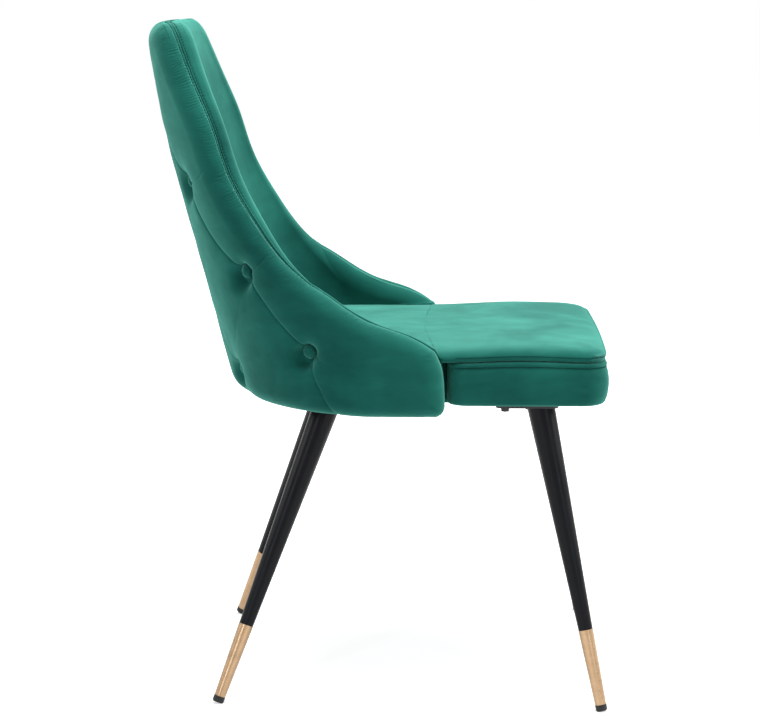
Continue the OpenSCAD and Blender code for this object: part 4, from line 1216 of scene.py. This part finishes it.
def seat_path(z, inset, at):
    """A line round the seat's front and sides, up to the wings, and its outward direction."""
    r = seat_ring(z, inset, 0, 1, at)
    n = np.hstack([r[:, :2] - SEAT_MID, np.zeros((len(r), 1))])
    half_way = len(r) // 2
    order = [i for i in range(-half_way, half_way) if r[i, 1] < SHOULDER_Y - PATH_CLEAR]
    return r[order], n[order]


# one row on the panel's pillow edge, which leans up, and one on the band under the seam
TOP_ROW_UP, TOP_ROW_LEAN, BAND_ROW_DOWN, BAND_ROW_INSET = 3.4, [0, 0, 60.0], 9.4, -1.35
top_path, top_out = seat_path(SEAM_Z, 0.0, SEAM_Z + TOP_ROW_UP)
seat_stitches = stitch_piece("seat_seam_topstitch",
                             [stitch_row(top_path, top_out + TOP_ROW_LEAN),
                              stitch_row(*seat_path(SEAM_Z, BAND_ROW_INSET, SEAM_Z - BAND_ROW_DOWN))])
fit(seat_stitches, THREAD, "velvet_seat")

# ---------------------------------------------------------------------------
# hard parts keep their solids and get a finish
# ---------------------------------------------------------------------------
HARD = {"seat_board": PLY, "seat_dust_cover": DUST, "seat_foam": FOAM,
        "back_board": PLY, "back_rail": PLY, "back_straps": STEEL_BLACK, "strap_screws": ZINC,
        "leg_bolts": STEEL_BLACK, "leg_washers": STEEL_BLACK, "leg_tee_nuts": ZINC}
for corner_name in ("front_left", "front_right", "rear_left", "rear_right"):
    HARD[f"leg_{corner_name}"] = BLACK
    HARD[f"leg_plate_{corner_name}"] = STEEL_BLACK
    HARD[f"ferrule_{corner_name}"] = GOLD
    HARD[f"glide_{corner_name}"] = GLIDE
for node, finish in HARD.items():
    NODES[node].data.materials.clear()
    NODES[node].data.materials.append(finish)

# ---------------------------------------------------------------------------
# floor and world: white to the eye and in reflections, plain soft light on the chair
# ---------------------------------------------------------------------------
FLOOR_HALF, FLOOR_SEGMENTS, FLOOR_GREY = 9, 8, (0.86, 0.86, 0.86, 1)
# under the chair the floor glows less, so that its shadow stays: metres from the middle, strength
GLOW_NEAR, GLOW_FAR, GLOW_LOW, GLOW_FULL = 0.5, 1.9, 0.55, 1.0
ROOM_COLOUR, ROOM_STRENGTH, WHITE = (0.95, 0.98, 1.0, 1), 0.17, (1, 1, 1, 1)


def looked_at(tree):
    """1 for what is looked at directly, in a reflection or through glass, 0 for light on the chair."""
    ray = tree.nodes.new("ShaderNodeLightPath").outputs
    return math_node(tree, "MAXIMUM", ray["Is Camera Ray"],
                     math_node(tree, "MAXIMUM", ray["Is Glossy Ray"], ray["Is Transmission Ray"]))


def floor_finish():
    """Matt white floor that glows up to plain white away from the chair."""
    m, t, shader, place = material("floor_white")
    shader.inputs["Base Color"].default_value = FLOOR_GREY
    shader.inputs["Roughness"].default_value = 0.9
    shader.inputs["Specular IOR Level"].default_value = 0.0
    shader.inputs["Emission Strength"].default_value = 1.0
    length = t.nodes.new("ShaderNodeVectorMath")
    length.operation = "LENGTH"
    t.links.new(place, length.inputs[0])
    glow = ranged(t, length.outputs["Value"], GLOW_NEAR, GLOW_FAR, GLOW_LOW, GLOW_FULL)
    t.links.new(math_node(t, "MULTIPLY", looked_at(t), glow), shader.inputs["Emission Color"])
    return m


def stage_floor():
    """The floor under the glides."""
    bm = bmesh.new()
    bmesh.ops.create_grid(bm, x_segments=FLOOR_SEGMENTS, y_segments=FLOOR_SEGMENTS, size=FLOOR_HALF)
    me = bpy.data.meshes.new("floor")
    bm.to_mesh(me)
    bm.free()
    me.materials.append(floor_finish())
    floor = bpy.data.objects.new("floor", me)
    bpy.context.scene.collection.objects.link(floor)


def studio_world():
    """A dim room on the chair that is plain white where it is looked at."""
    world = bpy.data.worlds.new("studio")
    bpy.context.scene.world = world
    world.use_nodes = True
    tree = world.node_tree
    tree.nodes.clear()
    dim, bright = (tree.nodes.new("ShaderNodeBackground") for _ in range(2))
    mix, out = tree.nodes.new("ShaderNodeMixShader"), tree.nodes.new("ShaderNodeOutputWorld")
    dim.inputs["Color"].default_value = ROOM_COLOUR
    dim.inputs["Strength"].default_value = ROOM_STRENGTH
    bright.inputs["Color"].default_value = WHITE
    bright.inputs["Strength"].default_value = 1.0
    tree.links.new(looked_at(tree), mix.inputs[0])
    tree.links.new(dim.outputs[0], mix.inputs[1])
    tree.links.new(bright.outputs[0], mix.inputs[2])
    tree.links.new(mix.outputs[0], out.inputs[0])


stage_floor()
studio_world()

# ---------------------------------------------------------------------------
# lamps: name, place, what it faces, width and height, watts, colour
# ---------------------------------------------------------------------------
COOL = (0.86, 0.9, 1)
SOFTBOXES = [("top_softbox", (-0.1, -0.2, 3.0), (0, 0, 0.4), (2.0, 2.0), 105, (1, 1, 1)),
             ("front_softbox", (-0.3, -3.0, 1.6), (0, 0, 0.6), (1.3, 1.3), 62, (1, 1, 1)),
             ("rear_softbox", (-0.2, 3.0, 1.8), (0, 0.1, 0.6), (1.2, 1.2), 24, (1, 1, 1)),
             ("side_strip", (-2.9, 1.7, 1.2), (0, 0, 0.4), (0.14, 1.7), 16, COOL),
             ("front_strip", (-2.9, -2.0, 1.0), (0, 0, 0.4), (0.16, 1.5), 9, COOL)]


def softbox(name, place, aim, size, power, colour):
    """A rectangular lamp that the camera doesn't see."""
    lamp = bpy.data.lights.new(name, "AREA")
    lamp.shape = "RECTANGLE"
    lamp.size, lamp.size_y = size
    lamp.energy = power
    lamp.color = colour
    ob = bpy.data.objects.new(name, lamp)
    bpy.context.scene.collection.objects.link(ob)
    ob.visible_camera = False
    ob.location = place
    ob.rotation_euler = (Vector(aim) - Vector(place)).to_track_quat("-Z", "Y").to_euler()


for lamp in SOFTBOXES:
    softbox(*lamp)

# ---------------------------------------------------------------------------
# camera: beside the chair, a little higher than its back, turned a little down
# ---------------------------------------------------------------------------
CAMERA_PLACE, CAMERA_TILT_DEG, CAMERA_TURN_DEG = (-3.2852, -0.0567, 0.9851), 80.092, -89.074
SENSOR_WIDTH, LENS, CLIP_END = 36.0, 116.88, 60

camera = bpy.data.objects.new("camera", bpy.data.cameras.new("camera"))
bpy.context.scene.collection.objects.link(camera)
camera.data.sensor_width = SENSOR_WIDTH
camera.data.lens = LENS
camera.data.clip_end = CLIP_END
camera.location = CAMERA_PLACE
camera.rotation_euler = (CAMERA_TILT_DEG * RAD, 0, CAMERA_TURN_DEG * RAD)
bpy.context.scene.camera = camera
bpy.context.scene.view_settings.view_transform = "Standard"
